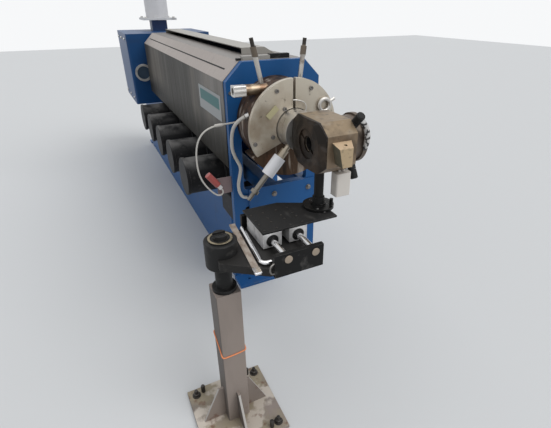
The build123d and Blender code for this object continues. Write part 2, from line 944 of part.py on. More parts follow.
# Guider nut: the slotted ring in the mouth that holds the cable guider
nut_face_x = head_left + guider_nut_recess
with BuildPart() as guider_nut:
    with BuildSketch(Plane.YZ.offset(nut_face_x)):
        with Locations((head_y, line_height)):
            Circle(bore_mouth_radius - seat)
            Circle(bore_radius, mode=Mode.SUBTRACT)
    extrude(amount=head_face_thickness - guider_nut_recess)
    with BuildSketch(Plane.YZ.offset(nut_face_x)):
        with Locations((head_y, line_height)):
            with PolarLocations(bore_mouth_radius, 2, start_angle=30):
                Rectangle(2 * (bore_mouth_radius - bore_radius), guider_slot_width)
    extrude(amount=guider_slot_depth, mode=Mode.SUBTRACT)
save(guider_nut, "guider_nut")

# Heater block: the small block on the crosshead's near side
block_front_y = head_near_y - block_depth
block_bottom = line_height - block_bottom_drop
block_top = line_height + block_back_rise
with BuildPart() as heater_block:
    with BuildSketch(Plane.XY.offset(block_bottom)):
        with BuildLine():
            Polyline(
                (block_left, head_near_y),
                (block_left, block_front_y),
                (block_right, block_front_y),
                (block_back_right, head_near_y),
                close=True,
            )
        make_face()
    extrude(amount=block_top - block_bottom)
    with BuildSketch(Plane.XZ.offset(-head_near_y)):
        with BuildLine():
            Polyline(
                (block_left, block_top),
                (block_left + block_taper, block_bottom),
                (block_left, block_bottom),
                close=True,
            )
        make_face()
    extrude(amount=block_depth, mode=Mode.SUBTRACT)
    with BuildSketch(Plane.YZ.offset(block_left)):
        with BuildLine():
            Polyline(
                (head_near_y, block_top),
                (block_front_y, line_height + block_front_rise),
                (block_front_y, block_top),
                close=True,
            )
        make_face()
    extrude(amount=block_back_right - block_left, mode=Mode.SUBTRACT)
    with BuildSketch(Plane.XY.offset(block_top)):
        with Locations((block_hole_x, head_near_y - block_depth / 2)):
            Circle(block_hole_radius)
    extrude(amount=-block_hole_depth, mode=Mode.SUBTRACT)
save(heater_block, "heater_block")

# Die holder: the round heater band and its rim on the crosshead's exit side
with BuildPart() as die_holder:
    with BuildSketch(Plane.YZ.offset(head_right)):
        with Locations((head_y, line_height)):
            Circle(die_band_radius)
    extrude(amount=band_x - head_right)
    with BuildSketch(Plane.YZ.offset(band_x - band_rim_length)):
        with Locations((head_y, line_height)):
            Circle(die_rim_radius)
    extrude(amount=band_rim_length)
    with BuildSketch(Plane.YZ.offset(head_right)):
        with Locations((head_y, line_height)):
            Circle(bore_radius)
    extrude(amount=band_x - head_right, mode=Mode.SUBTRACT)
save(die_holder, "die_holder")

# Head knobs: two black plugs that stand on the band, one leaning up and one
# down to the near side
knob_planes = []
for knob_x, knob_angle in ((upper_knob_x, upper_knob_angle), (lower_knob_x, lower_knob_angle)):
    knob_dir = (0, -cos(radians(knob_angle)), sin(radians(knob_angle)))
    knob_planes.append(Plane(origin=(knob_x, head_y, line_height), x_dir=(1, 0, 0), z_dir=knob_dir))
with BuildPart() as head_knobs:
    for knob_plane in knob_planes:
        with BuildSketch(knob_plane.offset(die_band_radius + seat)):
            Circle(knob_base_radius)
        extrude(amount=knob_base_length)
        with BuildSketch(knob_plane.offset(die_band_radius + seat + knob_base_length)):
            Circle(knob_tip_radius)
        extrude(amount=knob_tip_length)
save(head_knobs, "head_knobs")

# Heater plug: hangs under the crosshead on its two pins; beside it the wrapped
# lead that is bound between the upper knob and the band's rim
plug_top = head_bottom - plug_drop
plug_y = head_y - plug_reach
sleeve_route = [Vector(x, head_y - reach, line_height + rise) for x, reach, rise in sleeve_points]
with BuildPart() as heater_plug:
    with BuildLine():
        FilletPolyline(*sleeve_route, radius=corner_radii(sleeve_route))
    with BuildSketch(Plane(sleeve_route[0], z_dir=sleeve_route[1] - sleeve_route[0])):
        Circle(sleeve_radius)
    sweep()
    with BuildSketch(knob_planes[0].offset(die_band_radius)):
        Circle(knob_tip_radius + seat)
    extrude(amount=knob_base_length + 2 * knob_tip_length, mode=Mode.SUBTRACT)
    with BuildSketch(knob_planes[0].offset(die_band_radius)):
        Circle(knob_base_radius + seat)
    extrude(amount=knob_base_length + 2 * seat, mode=Mode.SUBTRACT)
    with BuildSketch(Plane.YZ.offset(head_right)):
        with Locations((head_y, line_height)):
            Circle(die_rim_radius + seat)
    extrude(amount=band_x - head_right + sleeve_radius, mode=Mode.SUBTRACT)
    with BuildSketch(Plane.XY.offset(plug_top)):
        with Locations((plug_x, plug_y)):
            RectangleRounded(plug_width, plug_depth, 6)
    extrude(amount=-plug_height)
    with BuildSketch(Plane.XY.offset(plug_top)):
        with Locations((plug_x - pin_spacing / 2, plug_y), (plug_x + pin_spacing / 2, plug_y)):
            Circle(pin_radius)
    extrude(amount=plug_drop)
save(heater_plug, "heater_plug")

# Leads: the thin one runs from the adapter flange round to its plug, and the
# thick one hangs from the flange to the crossbar
leads = (
    ("probe_lead", probe_lead_route, probe_lead_radius),
    ("heater_lead", heater_lead_route, heater_lead_radius),
)
for label, spots, lead_radius in leads:
    radii = corner_radii(spots)
    with BuildPart() as lead:
        with BuildLine() as lead_line:
            FilletPolyline(*spots, radius=radii)
        with BuildSketch(Plane(spots[0], z_dir=spots[1] - spots[0])):
            Circle(lead_radius)
        sweep()
    lead_length = sum(edge.length for edge in lead_line.edges())
    print(label, "length", round(lead_length, 1), "radii", [round(radius) for radius in radii])
    save(lead, label)

# Lead tab: a bracket on the plate's edge, with the connector and plug that the
# thin lead goes into
plug_end = probe_lead_route[-1]
plug_dir = plug_end - probe_lead_route[-2]
tab_width = -plate_half_width - tab_left
with BuildPart() as lead_tab:
    with BuildSketch(Plane.XZ.offset(-plate_front_y - tab_setback)):
        with Locations((tab_left + tab_width / 2, line_height - (tab_bottom_drop + tab_top_drop) / 2)):
            Rectangle(tab_width, tab_bottom_drop - tab_top_drop)
    extrude(amount=-sheet)
    with BuildSketch(Plane(plug_end, z_dir=plug_dir)):
        Circle(connector_radius)
    extrude(amount=connector_length)
    with BuildSketch(Plane(plug_end, z_dir=plug_dir).offset(connector_length)):
        Circle(lead_plug_radius)
    extrude(amount=lead_plug_length)
save(lead_tab, "lead_tab")

# Stand base: the floor plate with its four anchor holes, and a gusset against
# each face of the column
anchor_spacing = stand_plate_size - 2 * stand_anchor_inset
with BuildPart() as stand_base:
    with BuildSketch(Plane.XY):
        with Locations((stand_x, stand_y)):
            Rectangle(stand_plate_size, stand_plate_size)
            with GridLocations(anchor_spacing, anchor_spacing, 2, 2):
                Circle(stand_anchor_radius, mode=Mode.SUBTRACT)
    extrude(amount=stand_plate_thickness)
    for quarter in range(4):
        turn = Plane((stand_x, stand_y, stand_plate_thickness)).rotated((0, 0, 90 * quarter))
        gusset_origin = turn.from_local_coords((column_size / 2, 0, 0))
        with BuildSketch(Plane(gusset_origin, x_dir=turn.x_dir, z_dir=-turn.y_dir)):
            with BuildLine():
                Polyline((0, 0), (gusset_reach, 0), (gusset_top, gusset_height), (0, gusset_height), close=True)
            make_face()
        extrude(amount=gusset_thickness / 2, both=True)
save(stand_base, "stand_base")

# Column: a square tube with a closed top
with BuildPart() as stand_column:
    with BuildSketch(Plane.XY.offset(stand_plate_thickness)):
        with Locations((stand_x, stand_y)):
            RectangleRounded(column_size, column_size, column_wall)
    extrude(amount=column_top - stand_plate_thickness)
save(stand_column, "stand_column")

# Pivot: a collar on the column, a thinner neck, and the pin the arm turns on
pivot_top = hub_top + seat
with BuildPart() as stand_pivot:
    with BuildSketch(Plane.XZ.offset(-stand_y)):
        with BuildLine():
            Polyline(
                (stand_x, column_top),
                (stand_x + collar_radius, column_top),
                (stand_x + collar_radius, column_top + collar_height),
                (stand_x + collar_neck_radius, column_top + collar_height),
                (stand_x + collar_neck_radius, hub_bottom - seat),
                (stand_x + pivot_radius, hub_bottom - seat),
                (stand_x + pivot_radius, pivot_top),
                (stand_x, pivot_top),
                close=True,
            )
        make_face()
    revolve(axis=Axis((stand_x, stand_y, 0), (0, 0, 1)))
save(stand_pivot, "stand_pivot")

# Pivot nut: a washer and a slotted round nut that hold the hub down
with BuildPart() as pivot_nut:
    with BuildSketch(Plane.XY.offset(pivot_top)):
        with Locations((stand_x, stand_y)):
            Circle(washer_radius)
    extrude(amount=washer_thickness)
    with BuildSketch(Plane.XY.offset(pivot_top + washer_thickness)):
        with Locations((stand_x, stand_y)):
            Circle(nut_radius)
    extrude(amount=nut_height)
    with BuildSketch(Plane.XY.offset(pivot_top + washer_thickness + nut_height)):
        with Locations((stand_x, stand_y)):
            Rectangle(2 * nut_radius, nut_slot)
    extrude(amount=-nut_slot_depth, mode=Mode.SUBTRACT)
save(pivot_nut, "pivot_nut")

# Hub of the swing arm
with BuildPart() as arm_hub:
    with BuildSketch(Plane.XY.offset(hub_bottom)):
        with Locations((stand_x, stand_y)):
            Circle(hub_radius)
            Circle(pivot_radius + running_fit, mode=Mode.SUBTRACT)
    extrude(amount=hub_top - hub_bottom)
    chamfer(arm_hub.edges().filter_by(GeomType.CIRCLE).sort_by(SortBy.RADIUS)[-2:], 2)
save(arm_hub, "arm_hub")

# The slide is set out from the jack: the table's far edge first, then the
# blocks under it, then the end plates behind and before them
table_far_y = head_y + jack_edge
blocks_rear_y = table_far_y - table_overhang
table_near_y = blocks_rear_y - 2 * slide_block_length - slide_block_gap
bed_rear_y = blocks_rear_y + slide_rest_gap
slide_rear_y = bed_rear_y + end_plate_thickness
slide_front_y = slide_rear_y - slide_span
bed_front_y = slide_front_y + end_plate_thickness

# Arm plate: tapers from the hub out to the slide's bed
arm_root_x = stand_x - hub_radius / 2
with BuildPart() as arm_plate:
    with BuildSketch(Plane.XY.offset(arm_top - arm_thickness)):
        with BuildLine():
            Polyline(
                (arm_root_x, stand_y - arm_root_half),
                (arm_left, bed_front_y),
                (end_plate_right, bed_front_y),
                (end_plate_right, bed_rear_y),
                (arm_left, bed_rear_y),
                (arm_root_x, stand_y + arm_root_half),
                close=True,
            )
        make_face()
        with Locations((stand_x, stand_y)):
            Circle(hub_radius + seat, mode=Mode.SUBTRACT)
    extrude(amount=arm_thickness)
save(arm_plate, "arm_plate")

# End plates of the slide, bored for the two rods
rod_centres = (slide_left_x, slide_left_x + slide_rod_spacing)
with BuildPart() as end_plates:
    for end_y in (slide_front_y, bed_rear_y):
        with BuildSketch(Plane.XZ.offset(-end_y)):
            end_middle = (
                (end_plate_left + end_plate_right) / 2,
                arm_top - arm_thickness + end_plate_height / 2,
            )
            with Locations(end_middle):
                Rectangle(end_plate_right - end_plate_left, end_plate_height)
            with Locations(*[(x, slide_axis_height) for x in rod_centres]):
                Circle(slide_rod_radius + running_fit, mode=Mode.SUBTRACT)
        extrude(amount=-end_plate_thickness)
save(end_plates, "end_plates")

# Slide rods
with BuildPart() as slide_rods:
    with BuildSketch(Plane.XZ.offset(-slide_front_y)):
        with Locations(*[(x, slide_axis_height) for x in rod_centres]):
            Circle(slide_rod_radius)
    extrude(amount=-slide_span)
save(slide_rods, "slide_rods")

# Slide blocks: two on each rod, with a recessed seal at each end of the bore
slide_block_bottom = arm_top + slide_block_lift
block_fronts = (table_near_y, table_near_y + slide_block_length + slide_block_gap)
with BuildPart() as slide_blocks:
    for front_y in block_fronts:
        with BuildSketch(Plane.XZ.offset(-front_y)):
            with Locations(*[(x, slide_block_bottom + slide_block_height / 2) for x in rod_centres]):
                Rectangle(block_width, slide_block_height)
            with Locations(*[(x, slide_axis_height) for x in rod_centres]):
                Circle(slide_rod_radius + running_fit, mode=Mode.SUBTRACT)
        extrude(amount=-slide_block_length)
        for face_y in (front_y, front_y + slide_block_length - seal_depth):
            with BuildSketch(Plane.XZ.offset(-face_y)):
                with Locations(*[(x, slide_axis_height) for x in rod_centres]):
                    Circle(seal_radius)
            extrude(amount=-seal_depth, mode=Mode.SUBTRACT)
save(slide_blocks, "slide_blocks")

# Table: the flat plate across the blocks, with one corner cut away and the
# hole for the jack
table_bottom = slide_block_bottom + slide_block_height
table_top = table_bottom + table_thickness
with BuildPart() as table:
    with BuildSketch(Plane.XY.offset(table_bottom)):
        with BuildLine():
            Polyline(
                (table_left, table_near_y),
                (table_right, table_near_y),
                (table_right, table_far_y - table_cut_end_fall),
                (table_cut_mid_x, table_far_y - table_cut_mid_fall),
                (table_cut_x, table_far_y),
                (table_left, table_far_y),
                close=True,
            )
        make_face()
        with Locations((0, head_y)):
            Circle(jack_radius + running_fit, mode=Mode.SUBTRACT)
    extrude(amount=table_thickness)
save(table, "table")

# Side bars: the bent lock bar that lies on the arm, and the flat strap beside
# it that runs past the arm's front edge
lock_rear_y = bed_rear_y - lock_bar_rear_gap
lock_front_y = bed_front_y + lock_bar_front_gap
lock_height = arm_top + lock_bar_radius
strap_front_y = slide_front_y + strap_front_gap
strap_rear_y = slide_rear_y + strap_rear_run
strap_lean = (strap_front_x - strap_rear_x) / (strap_rear_y - strap_front_y)
with BuildPart() as side_bars:
    with BuildLine():
        FilletPolyline(
            (lock_bar_x - lock_bar_radius / 2, lock_rear_y, lock_height),
            (lock_bar_lean_x, lock_front_y, lock_height),
            (lock_bar_lean_x + lock_bar_toe, lock_front_y, lock_height),
            radius=lock_bar_bend,
        )
    with BuildSketch(Plane((lock_bar_x - lock_bar_radius / 2, lock_rear_y, lock_height), z_dir=(0, 1, 0))):
        Circle(lock_bar_radius)
    sweep()
    with BuildSketch(Plane.XY.offset(arm_top)):
        with BuildLine():
            Polyline(
                (strap_rear_x - strap_width, strap_rear_y),
                (strap_rear_x, strap_rear_y),
                (strap_front_x + strap_width, strap_front_y),
                (strap_front_x, strap_front_y),
                close=True,
            )
        make_face()
    extrude(amount=strap_thickness)
save(side_bars, "side_bars")

# Jack post: a plain screw under the crosshead, held up by its handwheel
with BuildPart() as jack_post:
    with BuildSketch(Plane.XY.offset(table_bottom - jack_below)):
        with Locations((0, head_y)):
            Circle(jack_radius)
    extrude(amount=head_bottom - seat - table_bottom + jack_below)
    chamfer(jack_post.faces().sort_by(Axis.Z)[-1].edges(), 2)
save(jack_post, "jack_post")

# Handwheel: a disc with a hub, turning on the post, with a crank knob
wheel_bottom = table_top + seat
with BuildPart() as handwheel:
    with BuildSketch(Plane.XY.offset(wheel_bottom)):
        with Locations((0, head_y)):
            Circle(wheel_radius)
    extrude(amount=wheel_thickness)
    with BuildSketch(Plane.XY.offset(wheel_bottom + wheel_thickness)):
        with Locations((0, head_y)):
            Circle(wheel_hub_radius)
    extrude(amount=wheel_hub_height)
    with BuildSketch(Plane.XY.offset(wheel_bottom + wheel_thickness)):
        with Locations((0, head_y)):
            with PolarLocations(wheel_radius - knob_inset, 1, start_angle=-40):
                Circle(knob_radius)
    extrude(amount=knob_height)
    with BuildSketch(Plane.XY.offset(wheel_bottom)):
        with Locations((0, head_y)):
            Circle(jack_radius + running_fit)
    extrude(amount=wheel_thickness + wheel_hub_height, mode=Mode.SUBTRACT)
save(handwheel, "handwheel")
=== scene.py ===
import json
from math import cos, pi, radians, sin

import bmesh
import bpy
from mathutils import Matrix, Vector


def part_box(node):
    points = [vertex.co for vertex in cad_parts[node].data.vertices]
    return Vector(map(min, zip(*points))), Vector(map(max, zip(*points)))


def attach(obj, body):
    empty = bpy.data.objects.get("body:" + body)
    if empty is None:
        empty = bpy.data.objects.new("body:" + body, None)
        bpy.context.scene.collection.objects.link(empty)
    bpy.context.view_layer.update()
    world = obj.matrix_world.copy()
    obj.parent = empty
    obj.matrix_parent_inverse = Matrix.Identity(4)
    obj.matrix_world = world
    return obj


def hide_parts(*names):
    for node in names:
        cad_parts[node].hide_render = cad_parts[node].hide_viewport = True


# A cable sheathing line: procedural finishes for its CAD nodes, and the bolts,
# plates and small fittings that the CAD leaves out. Metres, in the CAD's frame.

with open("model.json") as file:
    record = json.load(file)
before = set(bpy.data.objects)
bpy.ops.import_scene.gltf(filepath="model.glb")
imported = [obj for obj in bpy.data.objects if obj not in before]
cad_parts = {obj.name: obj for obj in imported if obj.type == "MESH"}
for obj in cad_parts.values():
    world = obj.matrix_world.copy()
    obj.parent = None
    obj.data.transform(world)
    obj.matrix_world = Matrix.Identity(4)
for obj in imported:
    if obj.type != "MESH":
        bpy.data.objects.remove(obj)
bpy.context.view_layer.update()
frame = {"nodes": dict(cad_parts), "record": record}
nodes = frame["nodes"]

# Each node's low and high corner
low = {name: Vector(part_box(name)[0]) for name in nodes}
high = {name: Vector(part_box(name)[1]) for name in nodes}

screw_axis = Vector((0, 0, 1.0))
plate_front = high["adapter_flange"].y
clamp_front = low["clamp_plates"].y
hood_top = high["hood_left"].z
stand = (low["stand_base"] + high["stand_base"]) / 2

# The melt probe's upper end and slant, and the thin lead's end in its red plug
probe_top = Vector((-0.056, plate_front - 0.200, screw_axis.z - 0.055))
probe_slant = radians(41.7)
probe_way = Vector((-sin(probe_slant), 0, -cos(probe_slant)))
lead_end = Vector((-0.226, plate_front, screw_axis.z - 0.240))
plug_way = Vector((-0.0083, 0, 0.0113))

# The two rods of the slide
rod_radius = 0.010
rod_xs = (low["slide_rods"].x + rod_radius, high["slide_rods"].x - rod_radius)
rod_z = (low["slide_rods"].z + high["slide_rods"].z) / 2


# Factors and layers of a material


def surface(name, color, roughness, metallic=0.0, shine=0.5):
    """A new material with a plain Principled shader."""
    made = bpy.data.materials.new(name)
    made.use_nodes = True
    shader = principled(made)
    shader.inputs["Base Color"].default_value = (*color, 1)
    shader.inputs["Roughness"].default_value = roughness
    shader.inputs["Metallic"].default_value = metallic
    shader.inputs["Specular IOR Level"].default_value = shine
    return made


def principled(made):
    """The material's Principled shader."""
    return made.node_tree.nodes["Principled BSDF"]


def ranged(made, fac, start, end, first=0.0, last=1.0):
    """The factor mapped from start..end to first..last, and held at its ends."""
    tree = made.node_tree
    mapped = tree.nodes.new("ShaderNodeMapRange")
    mapped.inputs["From Min"].default_value = start
    mapped.inputs["From Max"].default_value = end
    mapped.inputs["To Min"].default_value = first
    mapped.inputs["To Max"].default_value = last
    tree.links.new(fac, mapped.inputs["Value"])
    return mapped.outputs["Result"]


def both(made, first, second):
    """The product of two factors."""
    tree = made.node_tree
    product = tree.nodes.new("ShaderNodeMath")
    product.operation = "MULTIPLY"
    tree.links.new(first, product.inputs[0])
    tree.links.new(second, product.inputs[1])
    return product.outputs["Value"]


def noise(made, scale, detail, stretch=(1, 1, 1)):
    """The factor of a noise texture in object space, stretched along the axes."""
    tree = made.node_tree
    coords = tree.nodes.new("ShaderNodeTexCoord")
    mapping = tree.nodes.new("ShaderNodeMapping")
    texture = tree.nodes.new("ShaderNodeTexNoise")
    mapping.inputs["Scale"].default_value = stretch
    texture.inputs["Scale"].default_value = scale
    texture.inputs["Detail"].default_value = detail
    tree.links.new(coords.outputs["Object"], mapping.inputs["Vector"])
    tree.links.new(mapping.outputs["Vector"], texture.inputs["Vector"])
    return texture.outputs["Fac"]


def along(made, axis, start, end):
    """A factor that climbs from 0 at start to 1 at end along an object axis."""
    tree = made.node_tree
    coords = tree.nodes.new("ShaderNodeTexCoord")
    split = tree.nodes.new("ShaderNodeSeparateXYZ")
    tree.links.new(coords.outputs["Object"], split.inputs["Vector"])
    return ranged(made, split.outputs[axis], start, end)


def facing(made, axis, start=0.3, end=0.8):
    """A factor that climbs as the surface turns to face along an axis."""
    tree = made.node_tree
    geometry = tree.nodes.new("ShaderNodeNewGeometry")
    split = tree.nodes.new("ShaderNodeSeparateXYZ")
    tree.links.new(geometry.outputs["Normal"], split.inputs["Vector"])
    return ranged(made, split.outputs[axis], start, end)


def beyond(made, origin, direction, start, end):
    """A factor that climbs with the distance from a point along any direction."""
    tree = made.node_tree
    coords = tree.nodes.new("ShaderNodeTexCoord")
    product = tree.nodes.new("ShaderNodeVectorMath")
    product.operation = "DOT_PRODUCT"
    way = Vector(direction).normalized()
    product.inputs[1].default_value = way
    tree.links.new(coords.outputs["Object"], product.inputs[0])
    offset = way.dot(Vector(origin))
    return ranged(made, product.outputs["Value"], offset + start, offset + end)


def edges(made, radius=0.003):
    """A factor that is 1 on the outer edges, in patches: worn edges, and on the stand a painted edge highlight."""
    tree = made.node_tree
    bevel = tree.nodes.new("ShaderNodeBevel")
    bevel.inputs["Radius"].default_value = radius
    geometry = tree.nodes.new("ShaderNodeNewGeometry")
    product = tree.nodes.new("ShaderNodeVectorMath")
    product.operation = "DOT_PRODUCT"
    tree.links.new(bevel.outputs["Normal"], product.inputs[0])
    tree.links.new(geometry.outputs["Normal"], product.inputs[1])
    worn = ranged(made, product.outputs["Value"], 0.97, 0.85)
    return both(made, worn, ranged(made, noise(made, 26, 5), 0.42, 0.6))


def stain(made, color, fac, most=1.0):
    """Lay a colour over the base colour by a factor, at its strongest by the given most."""
    tree = made.node_tree
    if most < 1:
        fac = ranged(made, fac, 0, 1, 0, most)
    mix = tree.nodes.new("ShaderNodeMix")
    mix.data_type = "RGBA"
    under, over = [s for s in mix.inputs if s.type == "RGBA"]
    base = principled(made).inputs["Base Color"]
    if base.is_linked:
        tree.links.new(base.links[0].from_socket, under)
    else:
        under.default_value = base.default_value
    over.default_value = (*color, 1)
    tree.links.new(fac, mix.inputs["Factor"])
    tree.links.new(next(s for s in mix.outputs if s.type == "RGBA"), base)


def patches(made, color, scale, start, end, most, detail=6, stretch=(1, 1, 1), within=None):
    """Lay a colour where a noise climbs from start to end, within another factor if one is given."""
    fac = ranged(made, noise(made, scale, detail, stretch), start, end, 0, most)
    stain(made, color, fac if within is None else both(made, within, fac))


def rough_by(made, fac, least, most):
    """Let the roughness follow the middle of a noise."""
    made.node_tree.links.new(ranged(made, fac, 0.3, 0.7, least, most), principled(made).inputs["Roughness"])


def relief(made, fac, depth):
    """Bump the surface by a factor, over edges rounded by a bevel."""
    tree = made.node_tree
    edge_radius = 0.0015
    bevel = tree.nodes.new("ShaderNodeBevel")
    bevel.inputs["Radius"].default_value = edge_radius
    bump = tree.nodes.new("ShaderNodeBump")
    bump.inputs["Distance"].default_value = depth
    tree.links.new(fac, bump.inputs["Height"])
    tree.links.new(bevel.outputs["Normal"], bump.inputs["Normal"])
    tree.links.new(bump.outputs["Normal"], principled(made).inputs["Normal"])


# Finishes that several pieces share


def paint(name, color, roughness=0.42, dirt=(0.10, 0.09, 0.08), dust=0.12, shine=0.5):
    """Shop paint, worn along its edges, with dirt and a little dust on top."""
    made = surface(name, color, roughness, shine=shine)
    grime = noise(made, 9, 6)
    stain(made, dirt, ranged(made, grime, 0.58, 0.85, 0, 0.6))
    stain(made, (0.42, 0.40, 0.37), both(made, facing(made, "Z"), ranged(made, grime, 0.3, 0.75, 0, dust)))
    stain(made, (0.30, 0.29, 0.28), edges(made), 0.7)
    relief(made, noise(made, 220, 2), 0.0002)
    return made


def black(name, color=(0.018, 0.018, 0.018), roughness=0.5):
    """Black oxide or black paint, rubbed to grey on its edges."""
    made = surface(name, color, roughness, shine=0.16)
    patches(made, (0.10, 0.095, 0.09), 38, 0.58, 0.78, 0.6, 7, (1, 0.4, 1))
    stain(made, (0.22, 0.21, 0.20), edges(made, 0.002), 0.55)
    relief(made, noise(made, 200, 3), 0.0002)
    return made


def steel(name, color, roughness, metallic=0.9, grain=(1, 1, 1)):
    """Bare metal with its grain along one way."""
    made = surface(name, color, roughness, metallic)
    streaks = noise(made, 60, 5, grain)
    rough_by(made, streaks, roughness - 0.1, roughness + 0.12)
    relief(made, streaks, 0.0003)
    return made


def bare_steel(name, color):
    """Bright steel, browned in patches."""
    made = steel(name, color, 0.35, 0.9, (0.2, 1, 0.2))
    patches(made, (0.16, 0.12, 0.09), 24, 0.55, 0.72, 0.7)
    return made


# Finishes of single pieces


def hood_finish():
    """Brushed sheet with tall smears down its sides, paler near the plate, with a painted light band over its far
    part and painted light on the faces that look up.
    """
    made = surface("hood_steel", (0.075, 0.070, 0.062), 0.38, 0.3, 0.05)
    near = both(made, along(made, "Y", 0.22, -0.28), along(made, "Z", 0.92, 1.06))
    far = both(made, along(made, "Y", 0.62, 0.95), along(made, "Y", 1.30, 1.10))
    middle = both(made, along(made, "Y", -0.10, 0.10), along(made, "Y", 0.66, 0.50))
    stain(made, (0.26, 0.245, 0.23), near)
    # Painted light: a paler band of light over the far part of the sheet.
    stain(made, (0.15, 0.135, 0.115), far)
    stain(made, (0.040, 0.038, 0.034), middle, 0.55)
    smears = noise(made, 3.2, 5, (1, 1, 0.18))
    stain(made, (0.030, 0.027, 0.023), ranged(made, smears, 0.48, 0.66, 0, 0.8))
    stain(made, (0.24, 0.215, 0.185), ranged(made, smears, 0.44, 0.30, 0, 0.75))
    stain(made, (0.030, 0.028, 0.024), along(made, "Z", 0.97, 0.88))
    # Painted light: the up-facing shoulders are lit pale, and the flat top a little less.
    stain(made, (0.46, 0.41, 0.38), facing(made, "Z", 0.2, 0.5), 0.88)
    stain(made, (0.22, 0.21, 0.20), facing(made, "Z", 0.9, 0.98), 0.8)
    patches(made, (0.10, 0.09, 0.08), 22, 0.62, 0.8, 0.5, 6, (1, 1, 0.6))
    grain = noise(made, 160, 3, (0.05, 1, 0.03))
    rough_by(made, grain, 0.36, 0.54)
    relief(made, grain, 0.0002)
    return made


def name_plate_finish():
    """White enamel with a plain teal field, and no lettering."""
    made = surface("name_plate", (0.36, 0.375, 0.38), 0.4, shine=0.1)
    front, rear = low["hood_left"].y + 0.051, low["hood_left"].y + 0.301
    bottom, top = screw_axis.z + 0.028, screw_axis.z + 0.069
    soft = 0.002
    field = both(made, along(made, "Z", bottom - soft, bottom + soft), along(made, "Z", top + soft, top - soft))
    field = both(made, field, along(made, "Y", front - soft, front + soft))
    field = both(made, field, along(made, "Y", rear + soft, rear - soft))
    stain(made, (0.040, 0.165, 0.168), field, 0.9)
    return made


def burnt_finish():
    """Steel gone brown in the heat, with runs of burnt plastic down its face."""
    made = surface("burnt_steel", (0.085, 0.052, 0.032), 0.5, 0.4, 0.2)
    runs = noise(made, 30, 6, (1, 1, 0.14))
    stain(made, (0.018, 0.013, 0.010), ranged(made, runs, 0.50, 0.60, 0, 0.9))
    stain(made, (0.42, 0.36, 0.30), ranged(made, runs, 0.42, 0.34, 0, 0.9))
    patches(made, (0.16, 0.075, 0.045), 19, 0.56, 0.68, 0.7)
    relief(made, noise(made, 90, 5), 0.0008)
    return made


def clamp_finish():
    """The clamp plates' dull grey, with brown smears that thicken lower down."""
    made = surface("clamp_steel", (0.56, 0.51, 0.425), 0.42, 0.6)
    patches(made, (0.30, 0.235, 0.165), 9, 0.46, 0.66, 0.8)
    lower = along(made, "Z", 1.00, 0.88)
    smears = ranged(made, noise(made, 17, 6), 0.38, 0.58, 0.1, 0.85)
    stain(made, (0.20, 0.165, 0.125), both(made, lower, smears))
    patches(made, (0.12, 0.10, 0.08), 46, 0.62, 0.72, 0.7, 7)
    relief(made, noise(made, 90, 4), 0.0003)
    return made


def tube_finish():
    """Brass-brown tube, heat-tinted where it meets the flange, with a bright socket end."""
    made = steel("tube_brass", (0.40, 0.33, 0.235), 0.34, 0.85, (0.1, 1, 1))
    patches(made, (0.13, 0.075, 0.045), 26, 0.48, 0.66, 0.85)
    stain(made, (0.16, 0.09, 0.055), along(made, "X", -0.125, -0.085), 0.75)
    socket = low["clamp_screw"].x + 0.041
    stain(made, (0.66, 0.64, 0.61), along(made, "X", socket + 0.0002, socket))
    return made


def lever_finish():
    """Bright rod below, then a brown band for the grip and a dark one for the tip."""
    made = bare_steel("lever_steel", (0.50, 0.48, 0.45))
    grip, tip = screw_axis.z + 0.219, screw_axis.z + 0.249
    stain(made, (0.145, 0.12, 0.095), along(made, "Z", grip, grip + 0.001))
    stain(made, (0.05, 0.045, 0.04), along(made, "Z", tip, tip + 0.001))
    return made


def head_finish():
    """Tool steel tinted tan by heat, with brown and dark smears and rubbed edges."""
    made = surface("head_steel", (0.21, 0.152, 0.098), 0.45, 0.4)
    stain(made, (0.25, 0.185, 0.115), facing(made, "Z", 0.2, 0.6))
    stain(made, (0.24, 0.175, 0.118), along(made, "Z", 1.0, 0.94))
    patches(made, (0.33, 0.28, 0.22), 30, 0.55, 0.75, 0.6)
    patches(made, (0.075, 0.052, 0.034), 13, 0.52, 0.66, 0.7, 7)
    patches(made, (0.05, 0.036, 0.026), 42, 0.58, 0.72, 0.7)
    stain(made, (0.42, 0.36, 0.28), edges(made, 0.002), 0.6)
    relief(made, noise(made, 130, 5), 0.0005)
    return made


def face_finish():
    """Heat-blackened steel with brown smears and rubbed rims."""
    made = black("face_steel", (0.014, 0.010, 0.007))
    patches(made, (0.070, 0.048, 0.033), 16, 0.47, 0.66, 0.75)
    return made


def die_finish():
    """Brown steel with pale scale."""
    made = steel("die_brown", (0.125, 0.095, 0.074), 0.5, 0.3)
    patches(made, (0.19, 0.15, 0.11), 22, 0.5, 0.68, 0.8)
    return made


def heater_block_finish():
    """The heater block's pale scaled face, with painted shade in dark olive on the side away from the light."""
    made = surface("block_scale", (0.47, 0.355, 0.215), 0.6, 0.1)
    stain(made, (0.55, 0.40, 0.255), facing(made, "Z"))
    # Painted shade: the faces that look along -X turn dark olive.
    stain(made, (0.10, 0.09, 0.06), facing(made, "X", -0.4, -0.8))
    patches(made, (0.20, 0.15, 0.10), 70, 0.56, 0.7, 0.7)
    relief(made, noise(made, 160, 5), 0.0005)
    return made


def plug_finish():
    """Cream ceramic for the plug, and pale cloth with dark spots round the wrapped lead."""
    made = paint("plug_and_wrap", (0.66, 0.62, 0.57), 0.6, (0.24, 0.19, 0.15))
    wrap_end = screw_axis.z - 0.041
    wrap = along(made, "Z", wrap_end, wrap_end + 0.001)
    stain(made, (0.60, 0.59, 0.57), wrap)
    patches(made, (0.035, 0.032, 0.032), 85, 0.49, 0.53, 1, 5, within=wrap)
    return made


